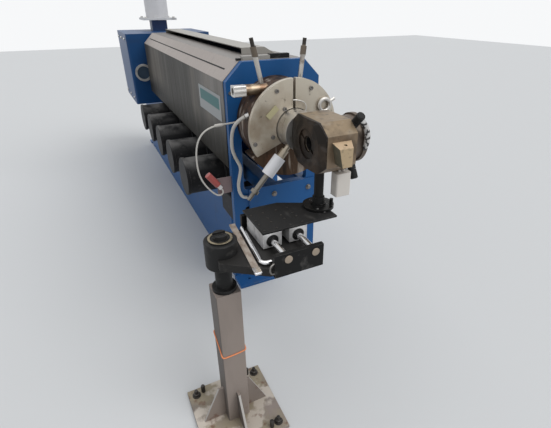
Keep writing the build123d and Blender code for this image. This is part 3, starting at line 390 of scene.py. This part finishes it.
def probe_finish():
    """Bright ferrule, white insulating body, and a grey rod with its tip."""
    made = bare_steel("probe_steel", (0.55, 0.53, 0.50))
    ferrule, body_end, step = 0.030, 0.102, 0.0002
    past_ferrule = beyond(made, probe_top, probe_way, ferrule - step, ferrule + step)
    before_rod = beyond(made, probe_top, probe_way, body_end + step, body_end - step)
    body = both(made, past_ferrule, before_rod)
    stain(made, (0.78, 0.78, 0.80), body)
    stain(made, (0.14, 0.125, 0.10), beyond(made, probe_top, probe_way, body_end - step, body_end + step), 0.8)
    stain(made, (0.30, 0.25, 0.18), beyond(made, probe_top, probe_way, ferrule, ferrule - step), 0.8)
    tree = made.node_tree
    plain = tree.nodes.new("ShaderNodeMath")
    plain.operation = "SUBTRACT"
    plain.inputs[0].default_value = 0.95
    tree.links.new(body, plain.inputs[1])
    tree.links.new(plain.outputs["Value"], principled(made).inputs["Metallic"])
    return made


def tab_finish():
    """A grey-pink tab that carries a red plug with a bright connector."""
    made = paint("tab_red", (0.235, 0.170, 0.170), 0.42, (0.12, 0.08, 0.08))
    front = along(made, "Y", plate_front + 0.0085, plate_front + 0.0080)
    stain(made, (0.40, 0.085, 0.075), front)
    connector = beyond(made, lead_end, plug_way, 0.0181, 0.0179)
    stain(made, (0.70, 0.69, 0.68), both(made, front, connector))
    return made


def blower_finish():
    """Black motor shells, greyed where dust lies on them."""
    made = black("blower_paint", (0.012, 0.012, 0.013))
    patches(made, (0.20, 0.195, 0.19), 14, 0.35, 0.6, 0.8, within=facing(made, "Z", 0.5, 1.0))
    return made


def throat_finish():
    """White flange over a blue throat."""
    made = paint("hopper_flange", (0.68, 0.68, 0.68))
    rim = high["hopper_flange"].z - 0.0141
    stain(made, (0.010, 0.045, 0.15), along(made, "Z", rim, rim - 0.0001))
    return made


def stand_finish():
    """Column steel with painted shade on its left faces and a painted highlight along its edges, with rust and pale
    scale over the floor plate.
    """
    made = surface("stand_steel", (0.31, 0.262, 0.232), 0.5, 0.15, 0.15)
    patches(made, (0.19, 0.165, 0.145), 5, 0.45, 0.65, 0.8, 5, (1, 1, 0.3))
    # Painted shade: the faces that look along -X are darkened.
    stain(made, (0.13, 0.115, 0.105), facing(made, "X", -0.6, -0.9))
    foot = along(made, "Z", 0.14, 0.03)
    level = both(made, foot, facing(made, "Z", 0.7, 0.9))
    patches(made, (0.33, 0.285, 0.205), 11, 0.36, 0.55, 0.9, 7, within=level)
    patches(made, (0.60, 0.54, 0.47), 9, 0.52, 0.57, 0.85, within=level)
    patches(made, (0.17, 0.085, 0.055), 34, 0.58, 0.70, 0.7, within=foot)
    # Painted highlight: a pale line along the column's edges.
    stain(made, (0.46, 0.42, 0.38), edges(made, 0.0025), 0.5)
    gusset_edges = both(made, facing(made, "Z", 0.36, 0.40), facing(made, "Z", 0.50, 0.46))
    stain(made, (0.55, 0.53, 0.50), gusset_edges, 0.8)
    relief(made, noise(made, 120, 6), 0.0006)
    return made


def aluminium_finish():
    """Milled aluminium with grey smears."""
    made = steel("block_aluminium", (0.72, 0.715, 0.71), 0.42, 0.4, (1, 0.2, 1))
    patches(made, (0.20, 0.19, 0.18), 30, 0.52, 0.72, 0.6)
    return made


def wheel_finish():
    """Black handwheel, rubbed bright in small patches."""
    made = black("wheel_black", (0.010, 0.010, 0.010), 0.35)
    patches(made, (0.42, 0.41, 0.40), 42, 0.63, 0.70, 0.85)
    return made


def braid_finish():
    """Flat braid of dull silver wire, browned in patches."""
    made = surface("braid", (0.38, 0.33, 0.28), 0.6, 0.1)
    weave = (1, 0.4, 1)
    patches(made, (0.20, 0.145, 0.11), 60, 0.42, 0.60, 0.85, 5, weave)
    relief(made, noise(made, 500, 3, weave), 0.0006)
    return made


# One finish for each material slot, and some nodes' own
finish = {
    "frame_paint": paint("frame_paint", (0.012, 0.090, 0.265), 0.4, (0.03, 0.045, 0.07), 0.05, 0.25),
    "hood_steel": hood_finish(),
    "cap_paint": paint("cap_paint", (0.33, 0.315, 0.285), 0.45),
    "barrel_steel": steel("barrel_steel", (0.22, 0.20, 0.18), 0.45),
    "blower_paint": blower_finish(),
    "box_plastic": black("box_plastic", (0.010, 0.010, 0.013)),
    "drive_paint": paint("drive_paint", (0.008, 0.055, 0.165), 0.4, (0.03, 0.035, 0.05), 0.05, 0.25),
    "motor_paint": paint("motor_paint", (0.03, 0.07, 0.15), 0.5),
    "hopper_steel": steel("hopper_steel", (0.58, 0.58, 0.60), 0.45, 0.6),
    "clamp_steel": clamp_finish(),
    "burnt_steel": burnt_finish(),
    "tube_brass": tube_finish(),
    "bright_steel": bare_steel("bright_steel", (0.55, 0.53, 0.50)),
    "head_steel": head_finish(),
    "face_steel": face_finish(),
    "plug_ceramic": paint("plug_ceramic", (0.50, 0.47, 0.43), 0.6, (0.20, 0.16, 0.12)),
    "lead_white": paint("lead_white", (0.56, 0.54, 0.50), 0.55, (0.16, 0.13, 0.10)),
    "tab_red": tab_finish(),
    "stand_steel": stand_finish(),
    "hub_black": black("hub_black"),
    "rod_chrome": steel("rod_chrome", (0.66, 0.66, 0.67), 0.16, 1.0, (1, 0.1, 1)),
    "block_aluminium": aluminium_finish(),
    "table_black": black("table_black", (0.020, 0.020, 0.020)),
}
own_finish = {
    "heater_block": heater_block_finish(),
    "hopper_flange": throat_finish(),
    "levers": lever_finish(),
    "melt_probe": probe_finish(),
    "heater_plug": plug_finish(),
    "handwheel": wheel_finish(),
    "arm_plate": black("arm_black", (0.024, 0.023, 0.022)),
    "end_plates": black("end_black", (0.009, 0.009, 0.009)),
    "die_holder": die_finish(),
}
for subpart in frame["record"]["subparts"]:
    mesh = nodes[subpart["node"]].data
    mesh.materials.clear()
    mesh.materials.append(own_finish.get(subpart["node"], finish[subpart["material_slot"]]))

dark_bolt = steel("dark_bolt", (0.06, 0.055, 0.05), 0.4, 0.7)
grey_bolt = steel("grey_bolt", (0.20, 0.19, 0.18), 0.4, 0.8)
zinc = bare_steel("zinc", (0.58, 0.57, 0.55))
rubber = black("rubber", (0.014, 0.014, 0.014), 0.6)


# Shapes that the fittings are made of


def spun_rings(mesh, place, axis, profile, sides):
    """A ring of vertices about an axis for each (radius, height) pair of a profile."""
    spin = Matrix.Translation(place) @ Vector(axis).to_track_quat("Z", "Y").to_matrix().to_4x4()
    turns = [2 * pi * n / sides for n in range(sides)]
    return [
        [mesh.verts.new(spin @ Vector((radius * cos(turn), radius * sin(turn), height))) for turn in turns]
        for radius, height in profile
    ]


def skin(mesh, rings):
    """Faces between each ring and the next."""
    for lower, upper in zip(rings, rings[1:]):
        for n in range(len(lower)):
            after = (n + 1) % len(lower)
            mesh.faces.new((lower[n], lower[after], upper[after], upper[n]))


def turned(mesh, place, axis, profile, sides=24):
    """Spin a profile of (radius, height) pairs about an axis, closed at both ends."""
    rings = spun_rings(mesh, place, axis, profile, sides)
    skin(mesh, rings)
    mesh.faces.new(reversed(rings[0]))
    mesh.faces.new(rings[-1])


def ring_between(mesh, place, axis, radii, heights, sides):
    """A flat ring between two radii and two heights, open through its middle."""
    inner, outer = radii
    start, end = heights
    rings = spun_rings(mesh, place, axis, ((inner, start), (outer, start), (outer, end), (inner, end)), sides)
    skin(mesh, rings + rings[:1])


def hex_bolt(mesh, place, axis, size, height):
    """A hexagon head on a round washer; the size is the radius to the head's corners."""
    washer = size * 0.25
    turned(mesh, place, axis, [(size * 1.25, 0), (size * 1.25, washer)])
    head = [(size, 0), (size, height * 0.85), (size * 0.86, height)]
    turned(mesh, Vector(place) + Vector(axis) * washer, axis, head, 6)


def socket_screw(mesh, place, axis, radius, height):
    """A cap screw's head with its socket."""
    bevel, socket = radius * 0.92, radius * 0.5
    head = [(radius, 0), (radius, height * 0.92), (bevel, height), (socket, height), (socket, height * 0.4)]
    turned(mesh, place, axis, head, 12)


def slab(mesh, corner, size, turn=None):
    """A box from its low corner, turned about that corner where a matrix is given."""
    spots = [Vector((x, y, z)) for x in (0, size[0]) for y in (0, size[1]) for z in (0, size[2])]
    verts = [mesh.verts.new(Vector(corner) + (turn @ s if turn else s)) for s in spots]
    for face in ((0, 1, 3, 2), (4, 6, 7, 5), (0, 4, 5, 1), (2, 3, 7, 6), (0, 2, 6, 4), (1, 5, 7, 3)):
        mesh.faces.new([verts[n] for n in face])


def placed(name, data, material, body):
    """An object with a material, riding on a body."""
    data.materials.append(material)
    made = bpy.data.objects.new(name, data)
    bpy.context.scene.collection.objects.link(made)
    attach(made, body)
    return made


def piece(name, mesh, material, body="line"):
    """Finish a bmesh as an object that rides on a body."""
    bmesh.ops.recalc_face_normals(mesh, faces=mesh.faces)
    data = bpy.data.meshes.new(name)
    mesh.to_mesh(data)
    mesh.free()
    data.polygons.foreach_set("use_smooth", [True] * len(data.polygons))
    data.set_sharp_from_angle(angle=radians(35))
    placed(name, data, material, body)


def tube(name, points, radius, material, body="line", closed=False):
    """A round wire along a smooth curve through control points."""
    curve = bpy.data.curves.new(name, "CURVE")
    curve.dimensions = "3D"
    curve.bevel_depth = radius
    curve.bevel_resolution = 4
    curve.resolution_u = 12
    spline = curve.splines.new("NURBS")
    spline.points.add(len(points) - 1)
    for control, place in zip(spline.points, points):
        control.co = (*place, 1)
    spline.order_u = 3
    spline.use_endpoint_u = not closed
    spline.use_cyclic_u = closed
    return placed(name, curve, material, body)


# The two free leads. Their points are (x, reach before the plate, rise over the
# screw axis) in millimetres, as in the part's source.


def lead(node, points, diameter):
    """A free lead as one smooth curve through its route's control points."""
    spots = [(x / 1000, plate_front - reach / 1000, screw_axis.z + rise / 1000) for x, reach, rise in points]
    made = tube(node + "_curve", spots, diameter / 2, finish["lead_white"])
    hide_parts(node)


lead(
    "probe_lead",
    [
        (-160, 12, 3), (-180, 12, 1.5), (-214, 12, 0.5), (-247, 12, -4), (-276, 11, -19), (-296, 10, -47),
        (-305, 9, -82), (-307, 8, -118), (-305.5, 7, -154), (-298, 6, -187), (-284, 4, -216), (-265, 3, -243),
        (-250, 2, -259), (-236, 1, -268), (-222, 0, -265), (-217.7, 0, -251.3), (-226, 0, -240),
    ],
    0.006,
)
lead(
    "heater_lead",
    [
        (-152.8, 98.3, 41.1), (-168.8, 89.9, 32.5), (-185, 72, 6), (-186, 50, -25), (-184, 34, -60), (-180, 25, -95),
        (-166, 22, -130), (-150, 22, -163), (-158, 22, -197), (-166, 23, -229), (-164, 25, -258),
        (-151.2, 24, -284.1), (-132, 12, -292),
    ],
    0.012,
)


# Fittings


def front_plate_fittings():
    """The crossbar's bolted plate, and the screws that hold the hood to the front plate."""
    thickness, sunk = 0.006, 0.0005
    bar_low, bar_high = Vector((-0.118, 0, 0.612)), Vector((0.173, 0, 0.734))
    mesh = bmesh.new()
    for x in (-0.0115, 0.143):
        hex_bolt(mesh, (x, plate_front - thickness, 0.696), (0, -1, 0), 0.009, 0.007)
    for side in (-1, 1):
        for rise in (-0.13, 0.10):
            socket_screw(mesh, (side * 0.166, plate_front, screw_axis.z + rise), (0, -1, 0), 0.006, 0.005)
    piece("plate_bolts", mesh, grey_bolt)
    mesh = bmesh.new()
    size = (bar_high.x - bar_low.x, thickness + sunk, bar_high.z - bar_low.z)
    slab(mesh, (bar_low.x, plate_front - thickness, bar_low.z), size)
    piece("crossbar_plate", mesh, finish["frame_paint"])


def clamp_fittings():
    """Socket screws, a bare tag and a bent wire on the clamp plates."""
    mesh = bmesh.new()
    spots = [(-0.063, 0.124), (0.061, 0.124), (-0.035, 0.065)]
    spots += [(side * x, rise) for x, rise in ((0.143, -0.038), (0.079, -0.023)) for side in (-1, 1)]
    for x, rise in spots:
        socket_screw(mesh, (x, clamp_front, screw_axis.z + rise), (0, -1, 0), 0.007, 0.005)
    piece("clamp_screws", mesh, grey_bolt)
    mesh = bmesh.new()
    slant = Matrix.Rotation(radians(-42), 3, "Y")
    slab(mesh, (-0.090, clamp_front - 0.0025, screw_axis.z + 0.036), (0.046, 0.0012, 0.020), slant)
    piece("clamp_tag", mesh, surface("tag_yellow", (0.46, 0.42, 0.25), 0.4))
    bends = [(-0.008, 0.093), (0.017, 0.091), (0.044, 0.075), (0.037, 0.043), (0.003, 0.053)]
    wire = [(x, clamp_front - 0.006, screw_axis.z + rise) for x, rise in bends]
    tube("neck_wire", wire, 0.002, zinc)


def lead_fittings():
    """The joint sleeve on the thin lead, and the ring on the thick one's upper end."""
    mesh = bmesh.new()
    sleeve = [(0.004, 0), (0.0052, 0.003), (0.0052, 0.026), (0.0035, 0.031)]
    turned(mesh, (-0.203, plate_front - 0.012, screw_axis.z + 0.0005), (-1, 0, -0.03), sleeve)
    piece("lead_joint", mesh, finish["lead_white"])
    mesh = bmesh.new()
    ring = [(0.0085, -0.012), (0.0085, 0.001), (0.0065, 0.003)]
    turned(mesh, (-0.150, plate_front - 0.0998, screw_axis.z + 0.0426), (-0.80, 0.42, -0.43), ring)
    piece("lead_ring", mesh, zinc)


def bezel_fittings():
    """The bright ring and the dark glass of the feed housing's bezel."""
    centre = Vector((low["feed_housing"].x + 0.080, low["feed_housing"].y, screw_axis.z - 0.060))
    ring_radii, glass_radius, glass_depth = (0.0435, 0.0575), 0.0430, 0.0105
    mesh = bmesh.new()
    ring_between(mesh, centre, (0, 1, 0), ring_radii, (-0.0010, 0.0125), 48)
    piece("bezel_ring", mesh, zinc)
    mesh = bmesh.new()
    glass = [(glass_radius, 0), (glass_radius, 0.001)]
    turned(mesh, centre + Vector((0, glass_depth, 0)), (0, -1, 0), glass, 48)
    piece("bezel_glass", mesh, surface("glass_dark", (0.05, 0.08, 0.12), 0.12))


def stand_fittings():
    """Anchors and jacking bolts on the floor plate, the tied string, and the hub's brass ring."""
    mesh = bmesh.new()
    plate_thickness, anchor_reach = 0.015, 0.12
    top = low["stand_base"].z + plate_thickness
    stud = [(0.007, 0), (0.007, 0.026), (0.006, 0.028)]
    jacking_bolt = [(0.008, 0), (0.008, 0.03), (0.006, 0.033)]
    for x in (-anchor_reach, anchor_reach):
        for y in (-anchor_reach, anchor_reach):
            anchor = (stand.x + x, stand.y + y, top)
            hex_bolt(mesh, anchor, (0, 0, 1), 0.013, 0.011)
            turned(mesh, anchor, (0, 0, 1), stud, 12)
            turned(mesh, (stand.x + x * 0.76, stand.y + y * 1.06, top), (0, 0, 1), jacking_bolt, 12)
    piece("stand_anchors", mesh, dark_bolt)
    half = (high["stand_column"].x - low["stand_column"].x) / 2 + 0.0015
    bend = 0.030
    string = [(-half, bend, 0.386), (-half, -bend, 0.358), (-half, -half, 0.343), (-bend, -half, 0.338)]
    string += [(bend, -half, 0.342), (half, -half, 0.346), (half, -bend, 0.352), (half, bend, 0.376)]
    string += [(half, half, 0.384), (bend, half, 0.388), (-bend, half, 0.394), (-half, half, 0.393)]
    string = [(stand.x + x, stand.y + y, z) for x, y, z in string]
    orange = surface("string_orange", (0.85, 0.28, 0.11), 0.5)
    tube("tie_string", string, 0.0022, orange, closed=True)
    mesh = bmesh.new()
    washer = (stand.x, stand.y, high["stand_pivot"].z + 0.004)
    ring_between(mesh, washer, (0, 0, 1), (0.0295, 0.0362), (-0.0002, 0.0012), 48)
    piece("washer_brass", mesh, steel("hub_brass", (0.34, 0.29, 0.20), 0.35, 0.8))


def arm_fittings():
    """Bronze discs on the rod ends, the end plate's hook, and the strap's braid and ferrule."""
    mesh = bmesh.new()
    disc = [(0.012, 0), (0.012, 0.0015), (0.010, 0.0022)]
    for x in rod_xs:
        turned(mesh, (x, low["end_plates"].y, rod_z), (0, -1, 0), disc)
    piece("rod_discs", mesh, steel("disc_bronze", (0.40, 0.33, 0.26), 0.4, 0.8), "swing_arm")
    corner = low["end_plates"]
    bends = [(0.0005, 0.004, 0.048), (-0.014, -0.001, 0.047), (-0.016, -0.001, 0.029)]
    bends += [(-0.010, -0.001, 0.017), (0.0005, 0.004, 0.015)]
    tube("plate_hook", [corner + Vector(bend) for bend in bends], 0.0025, grey_bolt, "swing_arm")
    strap_z = low["side_bars"].z + 0.0048
    rear = Vector((low["side_bars"].x + 0.034, high["side_bars"].y, strap_z))
    fore = Vector((low["side_bars"].x + 0.009, low["side_bars"].y, strap_z))
    strip = (fore - rear).to_track_quat("X", "Z").to_matrix()
    length = (fore - rear).length
    braid_width, ferrule_width, ferrule_length, margin = 0.019, 0.021, 0.026, 0.001
    ferrule_start = length - ferrule_length - margin
    mesh = bmesh.new()
    braid = (ferrule_start - margin, braid_width, 0.0016)
    slab(mesh, rear - strip @ Vector((0, braid_width / 2, 0)), braid, strip)
    piece("strap_braid", mesh, braid_finish(), "swing_arm")
    mesh = bmesh.new()
    ferrule = (ferrule_length, ferrule_width, 0.0036)
    slab(mesh, rear + strip @ Vector((ferrule_start, -ferrule_width / 2, -0.001)), ferrule, strip)
    piece("strap_ferrule", mesh, finish["rod_chrome"], "swing_arm")


def carriage_fittings():
    """Screws through the table, and the seals at both ends of the slide blocks."""
    mesh = bmesh.new()
    front, beside_rod = low["slide_blocks"].y, 0.020
    for x in [rod_x + side * beside_rod for rod_x in rod_xs for side in (-1, 1)]:
        for back in (0.013, 0.053, 0.078, 0.116):
            socket_screw(mesh, (x, front + back, high["table"].z), (0, 0, 1), 0.0032, 0.0015)
    piece("table_screws", mesh, dark_bolt, "carriage")
    mesh = bmesh.new()
    seal_radii, seal_recess, gap = (0.0106, 0.0196), 0.003, 0.0002
    for x in rod_xs:
        for y in (front + gap, high["slide_blocks"].y - seal_recess):
            ring_between(mesh, (x, y, rod_z), (0, 1, 0), seal_radii, (0, seal_recess - 2 * gap), 28)
    piece("block_seals", mesh, rubber, "carriage")


def jack_fittings():
    """The jack's dust sleeve, and the collar on the handwheel that it runs into."""
    post_top = high["jack_post"].z
    y = (low["jack_post"].y + high["jack_post"].y) / 2
    hub = low["handwheel"].z + 0.016
    sleeve_radii, collar_radii = (0.0112, 0.0155), (0.0163, 0.0198)
    mesh = bmesh.new()
    ring_between(mesh, (0, y, 0), (0, 0, 1), sleeve_radii, (hub + 0.0188, post_top - 0.0003), 40)
    piece("jack_sleeve", mesh, finish["hub_black"], "jack")
    mesh = bmesh.new()
    ring_between(mesh, (0, y, hub), (0, 0, 1), collar_radii, (0, 0.0195), 40)
    piece("wheel_collar", mesh, finish["hub_black"], "handwheel")


def head_fittings():
    """A black tube in the head's bore that paints its shade, and the grips on its two knobs."""
    axis_y, axis_z = (low["die_holder"].y + high["die_holder"].y) / 2, screw_axis.z
    left, right = high["guider_nut"].x + 0.001, high["die_holder"].x - 0.001
    bore_shade_radii, grip_radii, grip_reach = (0.0222, 0.0237), (0.0093, 0.0130), (0.1010, 0.1275)
    # Painted shade: a black tube darkens the inside of the bore.
    mesh = bmesh.new()
    ring_between(mesh, (0, axis_y, axis_z), (1, 0, 0), bore_shade_radii, (left, right), 40)
    piece("bore_shade_tube", mesh, rubber)
    mesh = bmesh.new()
    for x, angle in ((0.074, 45), (0.087, -60)):
        way = (0, -cos(radians(angle)), sin(radians(angle)))
        ring_between(mesh, (x, axis_y, axis_z), way, grip_radii, grip_reach, 12)
    piece("knob_grips", mesh, rubber)


def hood_fittings():
    """The bare name plate, the rest, latch and strip on top, and black strips in the slots that paint their shade.
    """
    side, front, rear = low["hood_left"].x, low["hood_left"].y, high["hood_left"].y
    thickness, length, height = 0.0015, 0.287, 0.091
    mesh = bmesh.new()
    slab(mesh, (side - thickness, front + 0.033, screw_axis.z - 0.010), (thickness, length, height))
    piece("name_plate", mesh, name_plate_finish())
    strip_left, rest_left, rest_right = -0.100, 0.004, 0.080
    bar_y, bar_depth = front + 0.018, 0.022
    mesh = bmesh.new()
    slab(mesh, (rest_left, bar_y, hood_top), (rest_right - rest_left, bar_depth, 0.015))
    slab(mesh, (-0.124, front + 0.008, hood_top), (0.016, 0.014, 0.007))
    piece("hood_rest", mesh, rubber)
    mesh = bmesh.new()
    slab(mesh, (strip_left, bar_y, hood_top), (rest_left - strip_left, bar_depth, 0.012))
    piece("hood_strip", mesh, finish["cap_paint"])
    mesh = bmesh.new()
    # Painted shade: black strips stand for the dark inside of the shoulder slots.
    half_chamfer, inset, width, depth = 0.031, 0.060, 0.0056, 0.0012
    for sign in (-1, 1):
        tilt = Matrix.Rotation(radians(45 * sign), 3, "Y")
        slot = Vector((-sign * (side + half_chamfer), front + inset, hood_top - half_chamfer))
        corner = slot - tilt @ Vector((width / 2, 0, 0.0008))
        slab(mesh, corner, (width, rear - front - 2 * inset, depth), tilt)
    piece("slot_shade_strips", mesh, rubber)


def drive_fittings():
    """Bolts down the sides of the feed housing and the gearbox, and on the hopper flange."""
    mesh = bmesh.new()
    side_inset, flange_inset = 0.035, 0.020
    for node, step, front_wall in (("feed_housing", 0.16, 0.013), ("gearbox", 0.12, 0)):
        front = low[node].y + front_wall
        depth = high[node].y - front
        count = int(depth / step)
        for side_x, axis in ((low[node].x, (-1, 0, 0)), (high[node].x, (1, 0, 0))):
            for n in range(count):
                for z in (low[node].z + side_inset, high[node].z - side_inset):
                    hex_bolt(mesh, (side_x, front + (n + 0.5) * depth / count, z), axis, 0.008, 0.006)
    near, far = low["hopper_flange"], high["hopper_flange"]
    for x in (near.x + flange_inset, far.x - flange_inset):
        for y in (near.y + flange_inset, far.y - flange_inset):
            hex_bolt(mesh, (x, y, far.z), (0, 0, 1), 0.009, 0.007)
    piece("drive_bolts", mesh, zinc)


front_plate_fittings()
clamp_fittings()
lead_fittings()
bezel_fittings()
stand_fittings()
arm_fittings()
carriage_fittings()
jack_fittings()
head_fittings()
hood_fittings()
drive_fittings()


# Room, light and camera


def floor():
    """A pale floor that takes the object's shadow."""
    mesh = bmesh.new()
    bmesh.ops.create_grid(mesh, x_segments=1, y_segments=1, size=15)
    data = bpy.data.meshes.new("floor")
    mesh.to_mesh(data)
    mesh.free()
    data.materials.append(surface("floor_pale", (0.64, 0.65, 0.655), 0.9, shine=0.1))
    made = bpy.data.objects.new("floor", data)
    made.location.z = low["base_frame"].z - 0.0005
    bpy.context.scene.collection.objects.link(made)


def backdrop():
    """A soft grey sky that looks near white to the camera and in metal."""
    world = bpy.data.worlds.new("studio")
    world.use_nodes = True
    bpy.context.scene.world = world
    tree = world.node_tree
    background = tree.nodes["Background"]
    background.inputs["Color"].default_value = (0.80, 0.82, 0.85, 1)
    background.inputs["Strength"].default_value = 0.5
    seen = tree.nodes.new("ShaderNodeBackground")
    seen.inputs["Color"].default_value = (0.93, 0.94, 0.95, 1)
    seen.inputs["Strength"].default_value = 1.0
    rays = tree.nodes.new("ShaderNodeLightPath")
    mix = tree.nodes.new("ShaderNodeMixShader")
    shown = rays.outputs["Is Camera Ray"]
    for kind in ("Is Glossy Ray", "Is Transmission Ray"):
        either = tree.nodes.new("ShaderNodeMath")
        either.operation = "MAXIMUM"
        tree.links.new(shown, either.inputs[0])
        tree.links.new(rays.outputs[kind], either.inputs[1])
        shown = either.outputs["Value"]
    tree.links.new(shown, mix.inputs["Fac"])
    tree.links.new(background.outputs["Background"], mix.inputs[1])
    tree.links.new(seen.outputs["Background"], mix.inputs[2])
    tree.links.new(mix.outputs["Shader"], tree.nodes["World Output"].inputs["Surface"])


def lamp(name, way, angle, strength):
    """A sun that shines one way, softened over an angle in degrees."""
    data = bpy.data.lights.new(name, "SUN")
    data.angle = radians(angle)
    data.energy = strength
    made = bpy.data.objects.new(name, data)
    made.rotation_euler = Vector(way).to_track_quat("-Z", "Y").to_euler()
    bpy.context.scene.collection.objects.link(made)


def camera():
    """The photograph's viewpoint: from the entry side, tilted down at the crosshead."""
    data = bpy.data.cameras.new("camera")
    data.lens = 25.55
    data.sensor_width = 36
    data.shift_x = -0.0227
    tilt_down, turn_right = 28.15, 26.5
    made = bpy.data.objects.new("camera", data)
    made.location = (-0.597, -1.672, 1.364)
    made.rotation_euler = (radians(90 - tilt_down), 0, radians(-turn_right))
    bpy.context.scene.collection.objects.link(made)
    bpy.context.scene.camera = made


bpy.context.scene.view_settings.view_transform = "Standard"
floor()
backdrop()
lamp("key", (-1.6, 2.6, -3.4), 40, 1.3)
lamp("top", (0.1, -0.1, -1), 60, 0.9)
camera()
